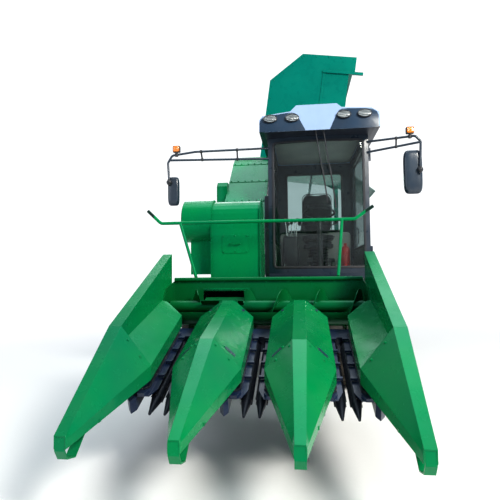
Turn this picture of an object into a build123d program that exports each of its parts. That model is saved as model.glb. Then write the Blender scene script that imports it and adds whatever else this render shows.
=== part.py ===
# Corn harvester for three rows, as separate named pieces
# Sizes are in millimetres, X to the machine's left, Y to its rear, Z up
# Y is zero at the front axle and Z is zero at the ground until the last step
from build123d import *
from math import atan2, cos, degrees, hypot, radians, sin, tan
import os

# Fits
GAP = 0.3

# Header
ROW_SPACING = 600
ROWS = (-ROW_SPACING, 0, ROW_SPACING)
INNER_X = ROW_SPACING / 2
TIP_Y = -3000
SEAM_Y = -2270
HOOD_END_Y = -1412.3
WALL_X = 963
WALL_END_Y = -1133
SKIN = 6
PIVOT_Y = -700
PIVOT_Z = 1000
ARM_X = (690, 715)
UPRIGHT_X = (725, 755)
PIVOT_R = 25
BEAM_Y = (-1079, -999)
BEAM_Z = (1132, 1212)
BACK_Y = (-1085, -1079)
SIDE_X = (867, 877.5)
BAR_Y = (-1200, -1085)
BAR_Z = (600, 700)
FEED_X = (-590, -150)
FEED_Z = (850, 1125)
AUGER_Y = -1245
AUGER_Z = 970
AUGER_R = 150
AUGER_TUBE_R = 52
TROUGH_R = 160

# Row units
ROW_REAR_Y = -1440
ROW_REAR_Z = 800
ROW_SLOPE = 20
ROW_LENGTH = 1000
ROLL_X = 50
ROLL_DROP = 80
ROLL_R = 43

# Stalk bar
STALK_Y = -680
STALK_Z = 1790
STALK_R = 17

# Chassis and wheels
RAIL_X = 420
RAIL_HALF = 40
RAIL_Z = (640, 760)
RAIL_Y = (-610, 3300)
REAR_END_Y = 3400
FRONT_WHEEL = dict(x=830, y=0, r=560, width=300, rim=305)
REAR_WHEEL = dict(x=780, y=2650, r=400, width=220, rim=205)
# Heights of all that the frame carries are drawn for small wheels, and larger ones lift it by RIDE
RIDE = max(FRONT_WHEEL["r"] + 80, REAR_WHEEL["r"] + 240) - RAIL_Z[0]
KINGPIN_X = 590
STEER_ARM = 150

# Lift cylinders of the header
LIFT_X = 470
LIFT_BASE = (-170, 480)
LIFT_EYE = (-1030, 620)

# Cab
CAB_X = (-55, 1125)
CAB_Y = (40, 1440)
CAB_Z = (1250, 2870)
CAB_BOW = 60
FRAME_T = 45
ROOF_X = (-135, 1222)
ROOF_Y = (-200, 1455)
HINGE_X = 1142
HINGE_Y = 110

# Mirrors
MIRROR_Y = -200
MIRROR_RIGHT_X = -1226
MIRROR_LEFT_X = 1668

# Elevator
ELEV_X = (-650, -110)
ELEV_FRONT_Y = -450
ELEV_BASE_Z = 790
ELEV_SLOPE = 42
BOOT_FRONT_Y = -985
BOOT_TOP_Z = 1100
ELEV_END_Y = 1420
ELEV_DEPTH = 690
HUMP_R = 215
HUMP_TOP_Z = 2070
FAN_X = (-975, -650.3)

# Bin
BIN_X = (-760, 990)
BIN_Y = (1612, 3150)
BIN_HIGH = 1300
BIN_HINGE_Z = 2850
BIN_TIP = 98
BIN_CHAMFER = 465
BIN_SKIN = 6
PORTAL_Y = (1470, 1525)
PORTAL_REAR_Y = (3237, 3292)
BIN_BASE = (300, 1640)
BIN_EYE = (-250, -450)
BIN_CYL_Y = (1568, 3194)

# Chopper
CHOP_Y = 1150
CHOP_Z = 340
CHOP_R = 200
CHOP_X = 800



def along_x(points, x0, x1):
    """Outline of (y, z) points drawn out from x0 to x1."""
    face = Face(Wire.make_polygon([(x0, y, z) for y, z in points]))
    return extrude(face, x1 - x0, dir=(1, 0, 0))


def along_y(points, y0, y1):
    """Outline of (x, z) points drawn out from y0 to y1."""
    face = Face(Wire.make_polygon([(x, y0, z) for x, z in points]))
    return extrude(face, y1 - y0, dir=(0, 1, 0))


def along_z(points, z0, z1):
    """Outline of (x, y) points drawn out from z0 to z1."""
    face = Face(Wire.make_polygon([(x, y, z0) for x, y in points]))
    return extrude(face, z1 - z0, dir=(0, 0, 1))


def block(x, y, z):
    """Rectangular bar between three (low, high) pairs."""
    return along_z([(x[0], y[0]), (x[1], y[0]), (x[1], y[1]), (x[0], y[1])], z[0], z[1])


def about(middle, half):
    """Low and high of a span of given half width."""
    return (middle - half, middle + half)


def rod(start, end, radius):
    """Round bar between two points."""
    way = Vector(*end) - Vector(*start)
    return Part() + Solid.make_cylinder(radius, way.length, Plane(origin=start, z_dir=way))


def bent_tube(points, radius, bend):
    """Round bar along a line of points with rounded corners."""
    path = FilletPolyline(*points, radius=bend)
    face = Plane(origin=path @ 0, z_dir=path % 0) * Circle(radius)
    return sweep(face, path)


def skin_loft(sections):
    """Straight-sided body through (y, outline of (x, z) points) sections."""
    faces = [Face(Wire.make_polygon([(x, y, z) for x, z in points])) for y, points in sections]
    return loft(faces, ruled=True)


def on_both_sides(shape):
    """The shape and its mirror image across the middle plane."""
    return shape + mirror(shape, Plane.YZ)


def joined(shapes):
    """One body from many."""
    whole = Part()
    for shape in shapes:
        whole = whole + shape
    return whole


def group(shapes):
    """Several solids that don't touch, kept apart in one piece."""
    return Compound([solid for shape in shapes for solid in shape.solids()])


PARTS = {}


# Dividers of the header

# Each row is one section of an inner divider: station, ridge half width and height,
# corner half width and height, lower edge height
INNER_SNOUT = (
    (TIP_Y, 28, 475, 31, 458, 410),
    (SEAM_Y, 45, 843, 226, 655, 570),
)
INNER_HOOD = (
    (SEAM_Y + GAP, 45, 843, 226, 655, 570),
    (-1500, 45, 1009, 222, 902, 810),
    (HOOD_END_Y, 45, 1033, 75, 1015, 930),
)
# Outer divider: station, outer face, ridge inner edge and height, corner and height, lower edge
OUTER_SNOUT = (
    (TIP_Y, 906, 846, 475, 843, 458, 410),
    (SEAM_Y, WALL_X, 878, 922, 672, 665, 570),
)
OUTER_HOOD = (
    (SEAM_Y + GAP, WALL_X, 878, 810, 672, 665, 570),
    (-1500, WALL_X, 878, 1010, 682, 915, 820),
    (HOOD_END_Y, WALL_X, 878, 1035, 830, 1020, 940),
)


def inner_section(ridge, ridge_z, corner, corner_z, low_z):
    return [(-corner, low_z), (-corner, corner_z), (-ridge, ridge_z),
            (ridge, ridge_z), (corner, corner_z), (corner, low_z)]


def outer_section(wall, ridge, ridge_z, corner, corner_z, low_z):
    return [(wall, low_z), (wall, ridge_z), (ridge, ridge_z), (corner, corner_z), (corner, low_z)]


def inner_shell(table):
    """Sheet cover, open below, from a table of sections."""
    outside = [(y, inner_section(*row)) for y, *row in table]
    inside = []
    for index, (y, ridge, ridge_z, corner, corner_z, low_z) in enumerate(table):
        inside.append((y, inner_section(ridge - SKIN / 2, ridge_z - SKIN, corner - SKIN,
                                        corner_z - SKIN, low_z - 40)))
    return skin_loft(outside) - skin_loft(inside)


def outer_shell(table):
    """Sheet cover beside the outer wall, open below."""
    outside = [(y, outer_section(*row)) for y, *row in table]
    inside = []
    for y, wall, ridge, ridge_z, corner, corner_z, low_z in table:
        inside.append((y, outer_section(wall - SKIN, ridge + SKIN / 2, ridge_z - SKIN, corner + SKIN,
                                        corner_z - SKIN, low_z - 40)))
    return skin_loft(outside) - skin_loft(inside)


def between(table, y):
    """Section of a two-row table at station y."""
    first, last = table
    share = (y - first[0]) / (last[0] - first[0])
    return [a + share * (b - a) for a, b in zip(first, last)]


def nose_shoe(x0, x1, low, tie_x):
    """Curved strap under the point of a snout, held behind by a tie between the snout's walls."""
    arc = [(TIP_Y + 2, 470), (TIP_Y, 400), (TIP_Y + 30, 350), (TIP_Y + 110, 328), (SHOE_END_Y, low - 6)]
    back = [(SHOE_END_Y - 5, low + 4), (TIP_Y + 108, 336), (TIP_Y + 36, 357), (TIP_Y + 8, 404), (TIP_Y + 10, 470)]
    return along_x(arc + back, x0, x1) + block(tie_x, (SHOE_END_Y - 30, SHOE_END_Y), (low - 6, low + 12))


SHOE_END_Y = TIP_Y + 260
shoe_row = between(INNER_SNOUT, SHOE_END_Y)
inner_snout = inner_shell(INNER_SNOUT) + nose_shoe(-29, 29, shoe_row[5], about(0, shoe_row[3] - 3))
inner_hood = inner_shell(INNER_HOOD)
shoe_row = between(OUTER_SNOUT, SHOE_END_Y)
outer_snout = outer_shell(OUTER_SNOUT) + nose_shoe(850, 903, shoe_row[6], (shoe_row[4] + 3, shoe_row[1] - 3))
wall_outline = [(SEAM_Y + GAP, 640), (SEAM_Y + GAP, 922), (WALL_END_Y, 1444), (WALL_END_Y, 700), (-1500, 640)]
wall_inside = [(SEAM_Y - 5, 600), (SEAM_Y - 5, 914), (WALL_END_Y - SKIN, 1436), (WALL_END_Y - SKIN, 600)]
outer_wall = along_x(wall_outline, 878, WALL_X) - along_x(wall_inside, 878 + SKIN, WALL_X - SKIN)
outer_hood = outer_shell(OUTER_HOOD) - along_x(wall_inside, 878 + SKIN, WALL_X - SKIN) + outer_wall
PARTS["divider_snouts"] = group([
    Pos(-INNER_X, 0, 0) * inner_snout,
    Pos(INNER_X, 0, 0) * inner_snout,
    outer_snout,
    mirror(outer_snout, Plane.YZ),
])
PARTS["divider_hoods"] = group([
    Pos(-INNER_X, 0, 0) * inner_hood,
    Pos(INNER_X, 0, 0) * inner_hood,
    outer_hood,
    mirror(outer_hood, Plane.YZ),
])

# Header frame: back wall, trough, end plates, beams and pivot arms
back_wall = block((-SIDE_X[0], SIDE_X[0]), BACK_Y, (AUGER_Z - 20, BEAM_Z[1]))
trough_ring = Plane.YZ * (Pos(AUGER_Y, AUGER_Z) * (Circle(TROUGH_R + 7) - Circle(TROUGH_R)))
trough = extrude(trough_ring, SIDE_X[0] * 2)
trough = Pos(-SIDE_X[0], 0, 0) * trough
keep_low = block((-900, 900), (AUGER_Y - 400, AUGER_Y + 400), (AUGER_Z - 400, AUGER_Z - 40))
trough_low = trough & keep_low
trough_rear = trough & block((-900, 900), (AUGER_Y, AUGER_Y + 400), (AUGER_Z - 60, AUGER_Z))
beam = block((-SIDE_X[0], SIDE_X[0]), BEAM_Y, BEAM_Z)
tool_bar = block((-SIDE_X[0], SIDE_X[0]), BAR_Y, BAR_Z)
end_outline = [(-1404, 800), (-1404, 1040), (-1340, 1130), (-999, 1212), (-999, 1000), (-1080, 590), (-1210, 590)]
end_plate = along_x(end_outline, *SIDE_X)
rib_outline = [(-1200, 690), (-1086, 690), (-1082, 955), (-1100, 880), (-1190, 815)]
ribs = [along_x(rib_outline, x - 6, x + 6) for x in (-700, -100, 250, 700)]
arm_outline = [(-1082, 1205), (-1082, 640), (-760, 930), (-660, 940), (-645, 1000), (-660, 1060), (-760, 1075)]
arm = along_x(arm_outline, *ARM_X) - rod((680, PIVOT_Y, PIVOT_Z), (720, PIVOT_Y, PIVOT_Z), PIVOT_R + GAP)
lug_outline = [(-1087, 605), (-1087, 695), (-1060, 695), (-1000, 640), (-1000, 600)]
eye_hole = rod((400, LIFT_EYE[0], LIFT_EYE[1]), (540, LIFT_EYE[0], LIFT_EYE[1]), 12)
lugs = along_x(lug_outline, LIFT_X - 42, LIFT_X - 28) + along_x(lug_outline, LIFT_X + 28, LIFT_X + 42)
rests = [block(about(side * INNER_X, 80), (HOOD_END_Y + GAP, HOOD_END_Y + 12), (900, 1036)) for side in (-1, 1)]
header = joined([back_wall, trough_low, trough_rear, beam, tool_bar] + ribs + rests)
header = header - block(FEED_X, (BACK_Y[0] - 30, BACK_Y[1] + 60), FEED_Z)
header = header + on_both_sides(end_plate + arm + (lugs - eye_hole))
header = header - rod((-900, AUGER_Y, AUGER_Z), (900, AUGER_Y, AUGER_Z), 30 + GAP)
PARTS["header_frame"] = header

# Auger that brings the ears to the feed opening
auger = rod((-850, AUGER_Y, AUGER_Z), (850, AUGER_Y, AUGER_Z), AUGER_TUBE_R)
auger = auger + rod((-SIDE_X[1], AUGER_Y, AUGER_Z), (SIDE_X[1], AUGER_Y, AUGER_Z), 30)
AUGER_DISCS = (-800, -700, -640, -90, 30, 150, 270, 390, 510, 630, 750)
for x in AUGER_DISCS:
    auger = auger + rod((x - 3, AUGER_Y, AUGER_Z), (x + 3, AUGER_Y, AUGER_Z), AUGER_R)
for turn in (0, 120, 240):
    paddle = block((-560, -180), (AUGER_Y - 3, AUGER_Y + 3), (AUGER_Z + 40, AUGER_Z + 130))
    auger = auger + paddle.rotate(Axis((0, AUGER_Y, AUGER_Z), (1, 0, 0)), turn)
PARTS["header_auger"] = auger

# Row units, drawn flat and then set at the slope of the deck
ROW_BACK = Vector(0, cos(radians(ROW_SLOPE)), sin(radians(ROW_SLOPE)))


def row_place(x):
    return Location(Plane(origin=(x, ROW_REAR_Y, ROW_REAR_Z), x_dir=(1, 0, 0),
                          z_dir=(0, -sin(radians(ROW_SLOPE)), cos(radians(ROW_SLOPE)))))


def row_side():
    """Deck plate, frame arm and gathering chain on one side of the gap."""
    plate = along_z([(34, -140), (34, -850), (70, -930), (165, -930), (165, -140)], -8, 0)
    frame = along_z([(150, 20), (150, -960), (175, -1000), (205, -960), (205, 20)], -90, 0)
    chain = along_z([(72, -120), (72, -905), (95, -945), (140, -945), (160, -905), (160, -120)], 0, 26)
    slot = along_z([(86, -135), (86, -895), (146, -895), (146, -135)], 8, 40)
    cleats = [block((24, 80), about(-200 - 175 * k, 9), (8, 26)) for k in range(4)]
    return plate + frame + (chain - slot) + joined(cleats)


row_half = row_side()
leg_outline = [(-1470, 780), (-1470, 665), (BAR_Y[0] - GAP, BAR_Z[0] + 5), (BAR_Y[0] - GAP, BAR_Z[1] - 5)]
row_half = row_place(0) * row_half + along_x(leg_outline, 150, 205)
row_box = along_z([(-150 + GAP, 20), (-150 + GAP, -120), (150 - GAP, -120), (150 - GAP, 20)], -150, -12)
row_solids = []
for x in ROWS:
    row_solids += [Pos(x, 0, 0) * row_half, Pos(x, 0, 0) * mirror(row_half, Plane.YZ), row_place(x) * row_box]
PARTS["row_units"] = group(row_solids)


# Snapping rolls with ribs and a pointed front end
def snapping_roll():
    body = rod((0, -870, 0), (0, -122, 0), ROLL_R - 9)
    for turn in range(6):
        rib = block((-4, 4), (-860, -160), (ROLL_R - 14, ROLL_R))
        body = body + rib.rotate(Axis.Y, turn * 60)
    cone = Solid.make_cone(ROLL_R - 9, 8, 140, Plane(origin=(0, -870, 0), z_dir=(0, -1, 0)))
    stub = rod((0, -125, 0), (0, -120 - GAP, 0), 18)
    return body + cone + stub


roll = snapping_roll()
ROW_NAMES = ("right", "middle", "left")
for name, x in zip(ROW_NAMES, ROWS):
    for hand, side in (("a", -1), ("b", 1)):
        PARTS["roll_" + name + "_" + hand] = row_place(x) * (Pos(side * ROLL_X, 0, -ROLL_DROP) * roll)

# Stalk bar on two slanted posts
stalk_path = [(-1278, STALK_Y, 1926), (-1136, STALK_Y, STALK_Z), (860, STALK_Y, STALK_Z), (1040, STALK_Y, 1916)]
stalk = bent_tube(stalk_path, STALK_R, 60)
post_right = rod((-928, STALK_Y, STALK_Z), (-672, BEAM_Y[0] + 40, BEAM_Z[1] + 14), 15)
post_left = rod((734, STALK_Y, STALK_Z), (655, BEAM_Y[0] + 40, BEAM_Z[1] + 14), 15)
foot_right = block(about(-672, 45), BEAM_Y, (BEAM_Z[1] + GAP, BEAM_Z[1] + 12))
foot_left = block(about(655, 45), BEAM_Y, (BEAM_Z[1] + GAP, BEAM_Z[1] + 12))
PARTS["stalk_bar"] = stalk + post_right + post_left + foot_right + foot_left

# Lift cylinders between the front axle and the header
lift_way = Vector(0, LIFT_EYE[0] - LIFT_BASE[0], LIFT_EYE[1] - LIFT_BASE[1]).normalized()


def lift_point(x, distance):
    return (x, LIFT_BASE[0] + lift_way.Y * distance, LIFT_BASE[1] + lift_way.Z * distance)


LIFT_LONG = hypot(LIFT_EYE[0] - LIFT_BASE[0], LIFT_EYE[1] - LIFT_BASE[1])
barrel = rod(lift_point(LIFT_X, 60), lift_point(LIFT_X, 430), 40)
barrel = barrel + rod(lift_point(LIFT_X, 0), lift_point(LIFT_X, 70), 19)
barrel = barrel + rod((LIFT_X - 20, *LIFT_BASE), (LIFT_X + 20, *LIFT_BASE), 38)
barrel = barrel - rod((LIFT_X - 60, *LIFT_BASE), (LIFT_X + 60, *LIFT_BASE), 16 + GAP)
barrel = barrel - rod(lift_point(LIFT_X, 100), lift_point(LIFT_X, 440), 22 + GAP)
lift_rod = rod(lift_point(LIFT_X, 180), lift_point(LIFT_X, LIFT_LONG - 15), 22)
lift_rod = lift_rod + rod((LIFT_X - 20, *LIFT_EYE), (LIFT_X + 20, *LIFT_EYE), 30)
lift_rod = lift_rod - rod((LIFT_X - 60, *LIFT_EYE), (LIFT_X + 60, *LIFT_EYE), 16)
PARTS["lift_barrels"] = group([barrel, mirror(barrel, Plane.YZ)])
PARTS["lift_rods"] = group([lift_rod, mirror(lift_rod, Plane.YZ)])

# Chassis frame
CROSS_Y = (130, 900, 1340, 1950, 3260)
rail = block(about(RAIL_X, RAIL_HALF), RAIL_Y, RAIL_Z)
front_cross = block((-760, 760), (-690, -605), RAIL_Z)
crosses = [block((-390, 390), about(y, 40), RAIL_Z) for y in CROSS_Y]
upright_outline = [(-690, 650), (-605, 650), (-640, 1060), (-755, 1060), (-755, 940), (-690, 860)]
pin = rod((ARM_X[0] - 6, PIVOT_Y, PIVOT_Z), (UPRIGHT_X[1], PIVOT_Y, PIVOT_Z), PIVOT_R)
upright = along_x(upright_outline, *UPRIGHT_X) + pin
cab_posts = []
for y in (130, 1340):
    cab_posts.append(block((-55, 1100), about(y, 40), (1135, 1190)))
    cab_posts.append(block(about(RAIL_X, 36), about(y, 36), (750, 1140)))
    cab_posts.append(block(about(0, 36), about(y, 36), (750, 1140)))
hanger_y, hanger_z = REAR_WHEEL["y"], REAR_WHEEL["r"] + 100 - RIDE
axle_hanger = [(hanger_y - 110, RAIL_Z[0] + 5), (hanger_y + 110, RAIL_Z[0] + 5),
               (hanger_y + 40, hanger_z), (hanger_y - 40, hanger_z)]
hangers = [along_x(axle_hanger, x, x + 20) for x in (-150, 130)]
hanger_ties = block((-390, 390), about(hanger_y, 110), (RAIL_Z[0], RAIL_Z[0] + 25))
drawbar = along_y([(-60, 620), (60, 620), (60, 780), (-60, 780)], 3290, REAR_END_Y)
drawbar = drawbar - block((-70, 70), (3330, 3410), (670, 730)) - rod((0, 3365, 600), (0, 3365, 800), 16)
frame = joined([on_both_sides(rail + upright), front_cross] + crosses + cab_posts + hangers + [hanger_ties, drawbar])
PARTS["chassis_frame"] = frame

# Front axle with gearbox, end drives and cylinder brackets
axle_z = FRONT_WHEEL["r"]
rail_low = RAIL_Z[0] + RIDE
base_z = LIFT_BASE[1] + RIDE
front_axle = rod((-600, 0, axle_z), (600, 0, axle_z), 75)
front_axle = front_axle + block((-180, 180), (-150, 170), (axle_z - 170, rail_low - GAP))
for side in (-1, 1):
    end_drive = rod((side * 550, 0, axle_z), (side * 655, 0, axle_z), 150)
    spindle = rod((side * 640, 0, axle_z), (side * 850, 0, axle_z), 45)
    bracket_outline = [(-50, axle_z - 80), (-50, axle_z + 40), (-100, base_z + 120), (-200, base_z + 30),
                       (-200, base_z - 30), (-100, base_z - 50)]
    low, high = side * LIFT_X - 34, side * LIFT_X + 22
    bracket = along_x(bracket_outline, low, low + 12) + along_x(bracket_outline, high, high + 12)
    bracket_pin = rod((low, LIFT_BASE[0], base_z), (high + 12, LIFT_BASE[0], base_z), 16)
    pad = block(about(side * RAIL_X, 38), (-70, 70), (axle_z + 20, rail_low - GAP))
    front_axle = front_axle + end_drive + spindle + bracket + bracket_pin + pad
PARTS["front_axle"] = front_axle


# Wheels, drawn at the origin with the axle along X
def tyre(wheel):
    radius, half, rim = wheel["r"], wheel["width"] / 2, wheel["rim"]
    points = [(half * 0.70, rim + GAP), (half * 0.70, rim + 26), (half, rim + (radius - rim) * 0.45), (half * 0.93, radius * 0.965),
              (half * 0.70, radius), (-half * 0.70, radius), (-half * 0.93, radius * 0.965),
              (-half, rim + (radius - rim) * 0.45), (-half * 0.70, rim + 26), (-half * 0.70, rim + GAP)]
    face = Face(Wire.make_polygon([(x, 0, z) for x, z in points]))
    return revolve(face, Axis.X)


def rim(wheel, bore, dish):
    radius, half = wheel["rim"], wheel["width"] / 2 * 0.70
    points = [(-half - 12, radius + 22), (-half - 12, radius - 30), (-half + 30, radius - 34),
              (dish - 14, radius - 40), (dish - 14, 100), (dish - 60, 90), (dish - 60, bore),
              (dish + 34, bore), (dish + 34, 80), (dish, 100), (dish, radius - 40),
              (half - 30, radius - 34), (half + 12, radius - 30), (half + 12, radius + 22),
              (half + GAP, radius + 22), (half + GAP, radius), (-half - GAP, radius), (-half - GAP, radius + 22)]
    face = Face(Wire.make_polygon([(x, 0, z) for x, z in points]))
    return revolve(face, Axis.X)


front_tyre = tyre(FRONT_WHEEL)
front_rim = rim(FRONT_WHEEL, 45 + GAP, -15)
rear_tyre = tyre(REAR_WHEEL)
rear_rim = rim(REAR_WHEEL, 30 + GAP, -10)
for hand, side in (("left", 1), ("right", -1)):
    spot = Pos(side * FRONT_WHEEL["x"], FRONT_WHEEL["y"], FRONT_WHEEL["r"])
    turn = Rot(0, 0, 0) if side > 0 else Rot(0, 0, 180)
    PARTS["front_tyre_" + hand] = spot * turn * front_tyre
    PARTS["front_rim_" + hand] = spot * turn * front_rim
    spot = Pos(side * REAR_WHEEL["x"], REAR_WHEEL["y"], REAR_WHEEL["r"])
    PARTS["rear_tyre_" + hand] = spot * turn * rear_tyre
    PARTS["rear_rim_" + hand] = spot * turn * rear_rim

# Rear axle with its middle pivot and the steered knuckles
rear_y, rear_z = REAR_WHEEL["y"], REAR_WHEEL["r"]
rear_axle = block((-540, 540), about(rear_y, 45), (rear_z - 30, rear_z + 80))
boss = rod((-130 + GAP, rear_y, rear_z + 140), (130 - GAP, rear_y, rear_z + 140), 50)
rear_axle = rear_axle + boss + block((-100, 100), about(rear_y, 45), (rear_z + 60, rear_z + 140))
for side in (-1, 1):
    for low in (-62, 34):
        ear = block(sorted((side * 520, side * KINGPIN_X)), about(rear_y, 42), (rear_z + low, rear_z + low + 28))
        ear = ear + rod((side * KINGPIN_X, rear_y, rear_z + low), (side * KINGPIN_X, rear_y, rear_z + low + 28), 42)
        hole = rod((side * KINGPIN_X, rear_y, rear_z - 90), (side * KINGPIN_X, rear_y, rear_z + 90), 20 + GAP)
        rear_axle = rear_axle + ear - hole
    web = block(sorted((side * 500, side * 540)), about(rear_y, 42), (rear_z - 62, rear_z + 62))
    rear_axle = rear_axle + web
PARTS["rear_axle"] = rear_axle
for hand, side in (("left", 1), ("right", -1)):
    knuckle = rod((side * KINGPIN_X, rear_y, rear_z - 33.5), (side * KINGPIN_X, rear_y, rear_z + 33.5), 38)
    knuckle = knuckle + rod((side * KINGPIN_X, rear_y, rear_z - 62), (side * KINGPIN_X, rear_y, rear_z + 62), 20)
    knuckle = knuckle + rod((side * KINGPIN_X, rear_y, rear_z), (side * 800, rear_y, rear_z), 30)
    steer_arm = block(about(side * KINGPIN_X, 20), (rear_y - STEER_ARM - 20, rear_y - 20), about(rear_z, 14))
    PARTS["knuckle_" + hand] = knuckle + steer_arm
tie_y = rear_y - STEER_ARM
tie = rod((-KINGPIN_X, tie_y, rear_z + 40), (KINGPIN_X, tie_y, rear_z + 40), 14)
for side in (-1, 1):
    tie = tie + rod((side * KINGPIN_X, tie_y, rear_z + 14 + GAP), (side * KINGPIN_X, tie_y, rear_z + 60), 22)
PARTS["tie_rod"] = tie

# Engine, cooling and fuel
engine = block((-150, 430), (1580, 2420), (790, 1400)) + block((-60, 340), (1660, 2340), (RAIL_Z[1] + GAP, 800))
mounts = [block(about(sx * RAIL_X, 36), about(y, 36), (RAIL_Z[1] + GAP, 840)) for sx, y in ((1, 1700), (1, 2300))]
feet = [block((-400, -140), about(y, 36), (800, 850)) + block(about(-RAIL_X, 36), about(y, 36), (RAIL_Z[1] + GAP, 850))
        for y in (1700, 2300)]
PARTS["engine_block"] = engine + joined(mounts) + joined(feet)
cooling = block((470, 900), (1640, 2280), (800, 1400)) + rod((900, 1960, 1100), (925, 1960, 1100), 260)
cooling = cooling + block((430 + GAP, 480), (1900, 2000), (1050, 1150))
PARTS["cooling_unit"] = cooling
tank = block((-900, -470), (1640, 2280), (800, 1250)) + block((-560, -384), (1760, 2240), (RAIL_Z[1] + GAP, 810))
PARTS["fuel_tank"] = tank

# Cab shell, open inside, with windows cut
x0, x1 = CAB_X
y0, y1 = CAB_Y
z0, z1 = CAB_Z
floor = block(CAB_X, (y0 - 40, y1), (z0 - 60 + GAP, z0))
PARTS["cab_floor"] = floor


def bowed_band(front, depth, low, high):
    """Upright band across the cab whose front face bows forward."""
    middle = (x0 + x1) / 2
    face_line = ThreePointArc((x0, front, low), (middle, front - CAB_BOW, low), (x1, front, low))
    back_line = ThreePointArc((x1, front + depth, low), (middle, front + depth - CAB_BOW, low), (x0, front + depth, low))
    side_b = Line((x1, front, low), (x1, front + depth, low))
    side_a = Line((x0, front + depth, low), (x0, front, low))
    face = Face(Wire([face_line.edge(), side_b.edge(), back_line.edge(), side_a.edge()]))
    return extrude(face, high - low, dir=(0, 0, 1))


pane = ((x0 + 62, x1 - 62), (z0 + 70, z1 - 60))
front_band = bowed_band(y0 + 20, FRAME_T, z0 + GAP, z1)
window = block(pane[0], (y0 - 200, y0 + 200), pane[1])
PARTS["cab_front_frame"] = front_band - window
glass_band = bowed_band(y0 + 28, 8, z0 + 10, z1 - 10)
glass_cut = block((pane[0][0] + GAP, pane[0][1] - GAP), (y0 - 200, y0 + 200), (pane[1][0] + GAP, pane[1][1] - GAP))
windscreen = glass_band & glass_cut

side_y = (y0 + 20 + FRAME_T + GAP, y1 - FRAME_T - GAP)
side_pane = ((side_y[0] + 80, side_y[1] - 80), (z0 + 420, z1 - 90))
side_wall = block((x0, x0 + FRAME_T), side_y, (z0 + GAP, z1))
side_wall = side_wall - block((x0 - 9, x0 + 99), *side_pane)
PARTS["cab_side_wall"] = side_wall
side_glass = block((x0 + 16, x0 + 24), (side_pane[0][0] + GAP, side_pane[0][1] - GAP),
                   (side_pane[1][0] + GAP, side_pane[1][1] - GAP))
rear_pane = ((x0 + 180, x1 - 180), (z0 + 620, z1 - 140))
rear_wall = block(CAB_X, (y1 - FRAME_T, y1), (z0 + GAP, z1)) - block(rear_pane[0], (y1 - 99, y1 + 9), rear_pane[1])
PARTS["cab_rear_wall"] = rear_wall
rear_glass = block((rear_pane[0][0] + GAP, rear_pane[0][1] - GAP), (y1 - 26, y1 - 18),
                   (rear_pane[1][0] + GAP, rear_pane[1][1] - GAP))
PARTS["cab_glass"] = group([windscreen, side_glass, rear_glass])

# Door on the left side, hinged at its front edge
door_y = (side_y[0] + 8, side_y[1] - 8)
door_z = (z0 + 8, z1 - 8)
door_pane = ((door_y[0] + 70, door_y[1] - 80), (z0 + 330, z1 - 90))
door = block((x1 - 38, x1), door_y, door_z) - block((x1 - 99, x1 + 9), *door_pane)
pillar_knuckles = Part()
for z in (z0 + 200, z1 - 260):
    leaf = block((x1 - 20, HINGE_X - 4), (HINGE_Y + 4, HINGE_Y + 60), (z, z + 70))
    door = door + leaf + rod((HINGE_X, HINGE_Y, z), (HINGE_X, HINGE_Y, z + 70), 16)
    for low in (z - 40 - GAP, z + 70 + GAP):
        strap = block((x1 - 4, HINGE_X - 4), (HINGE_Y - 50, HINGE_Y), (low, low + 40))
        pillar_knuckles = pillar_knuckles + strap + rod((HINGE_X, HINGE_Y, low), (HINGE_X, HINGE_Y, low + 40), 16)
PARTS["cab_front_frame"] = PARTS["cab_front_frame"] + pillar_knuckles
handle = bent_tube([(x1 - 4, door_y[1] - 40, z0 + 420), (x1 + 40, door_y[1] - 40, z0 + 420),
                    (x1 + 40, door_y[1] - 40, z0 + 640), (x1 - 4, door_y[1] - 40, z0 + 640)], 9, 18)
PARTS["cab_door"] = door + handle
PARTS["door_glass"] = block((x1 - 22, x1 - 14), (door_pane[0][0] + GAP, door_pane[0][1] - GAP),
                            (door_pane[1][0] + GAP, door_pane[1][1] - GAP))

# Roof cap with a raised middle, and its lamps
roof_low = z1 + GAP
roof_outline = [(ROOF_X[0], roof_low + 10), (ROOF_X[0], 3025), (-98, 3076), (224, 3118), (292, 3190), (753, 3190),
                (807, 3140), (1136, 3118), (ROOF_X[1], 3060), (ROOF_X[1], roof_low + 10), (1160, roof_low), (-75, roof_low)]
roof = along_y(roof_outline, *ROOF_Y)
ROOF_LEAN = 60
roof = roof - along_x([(ROOF_Y[0], roof_low), (ROOF_Y[0] - 99, roof_low), (ROOF_Y[0] - 99, 3300),
                       (ROOF_Y[0] + ROOF_LEAN * (3300 - roof_low) / 300, 3300)], -300, 1400)
roof = roof - block((-200, -90), (1080, 1500), (2800, 3300))
roof = roof - block((5, 1065), (170, 1380), (roof_low - 9, 3050))
PARTS["cab_roof"] = roof
LAMPS = ((-7, 3024), (245, 3023), (827, 3036), (1058, 3037))
face_out = Vector(0, -300, ROOF_LEAN).normalized()
lamp_set = []
for x, z in LAMPS:
    spot = Vector(x, ROOF_Y[0] + ROOF_LEAN * (z - roof_low) / 300, z) + face_out * GAP
    lamp_set.append(extrude(Plane(origin=spot, x_dir=(1, 0, 0), z_dir=face_out) * Ellipse(58, 34), 22))
PARTS["lamps"] = group(lamp_set)

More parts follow.
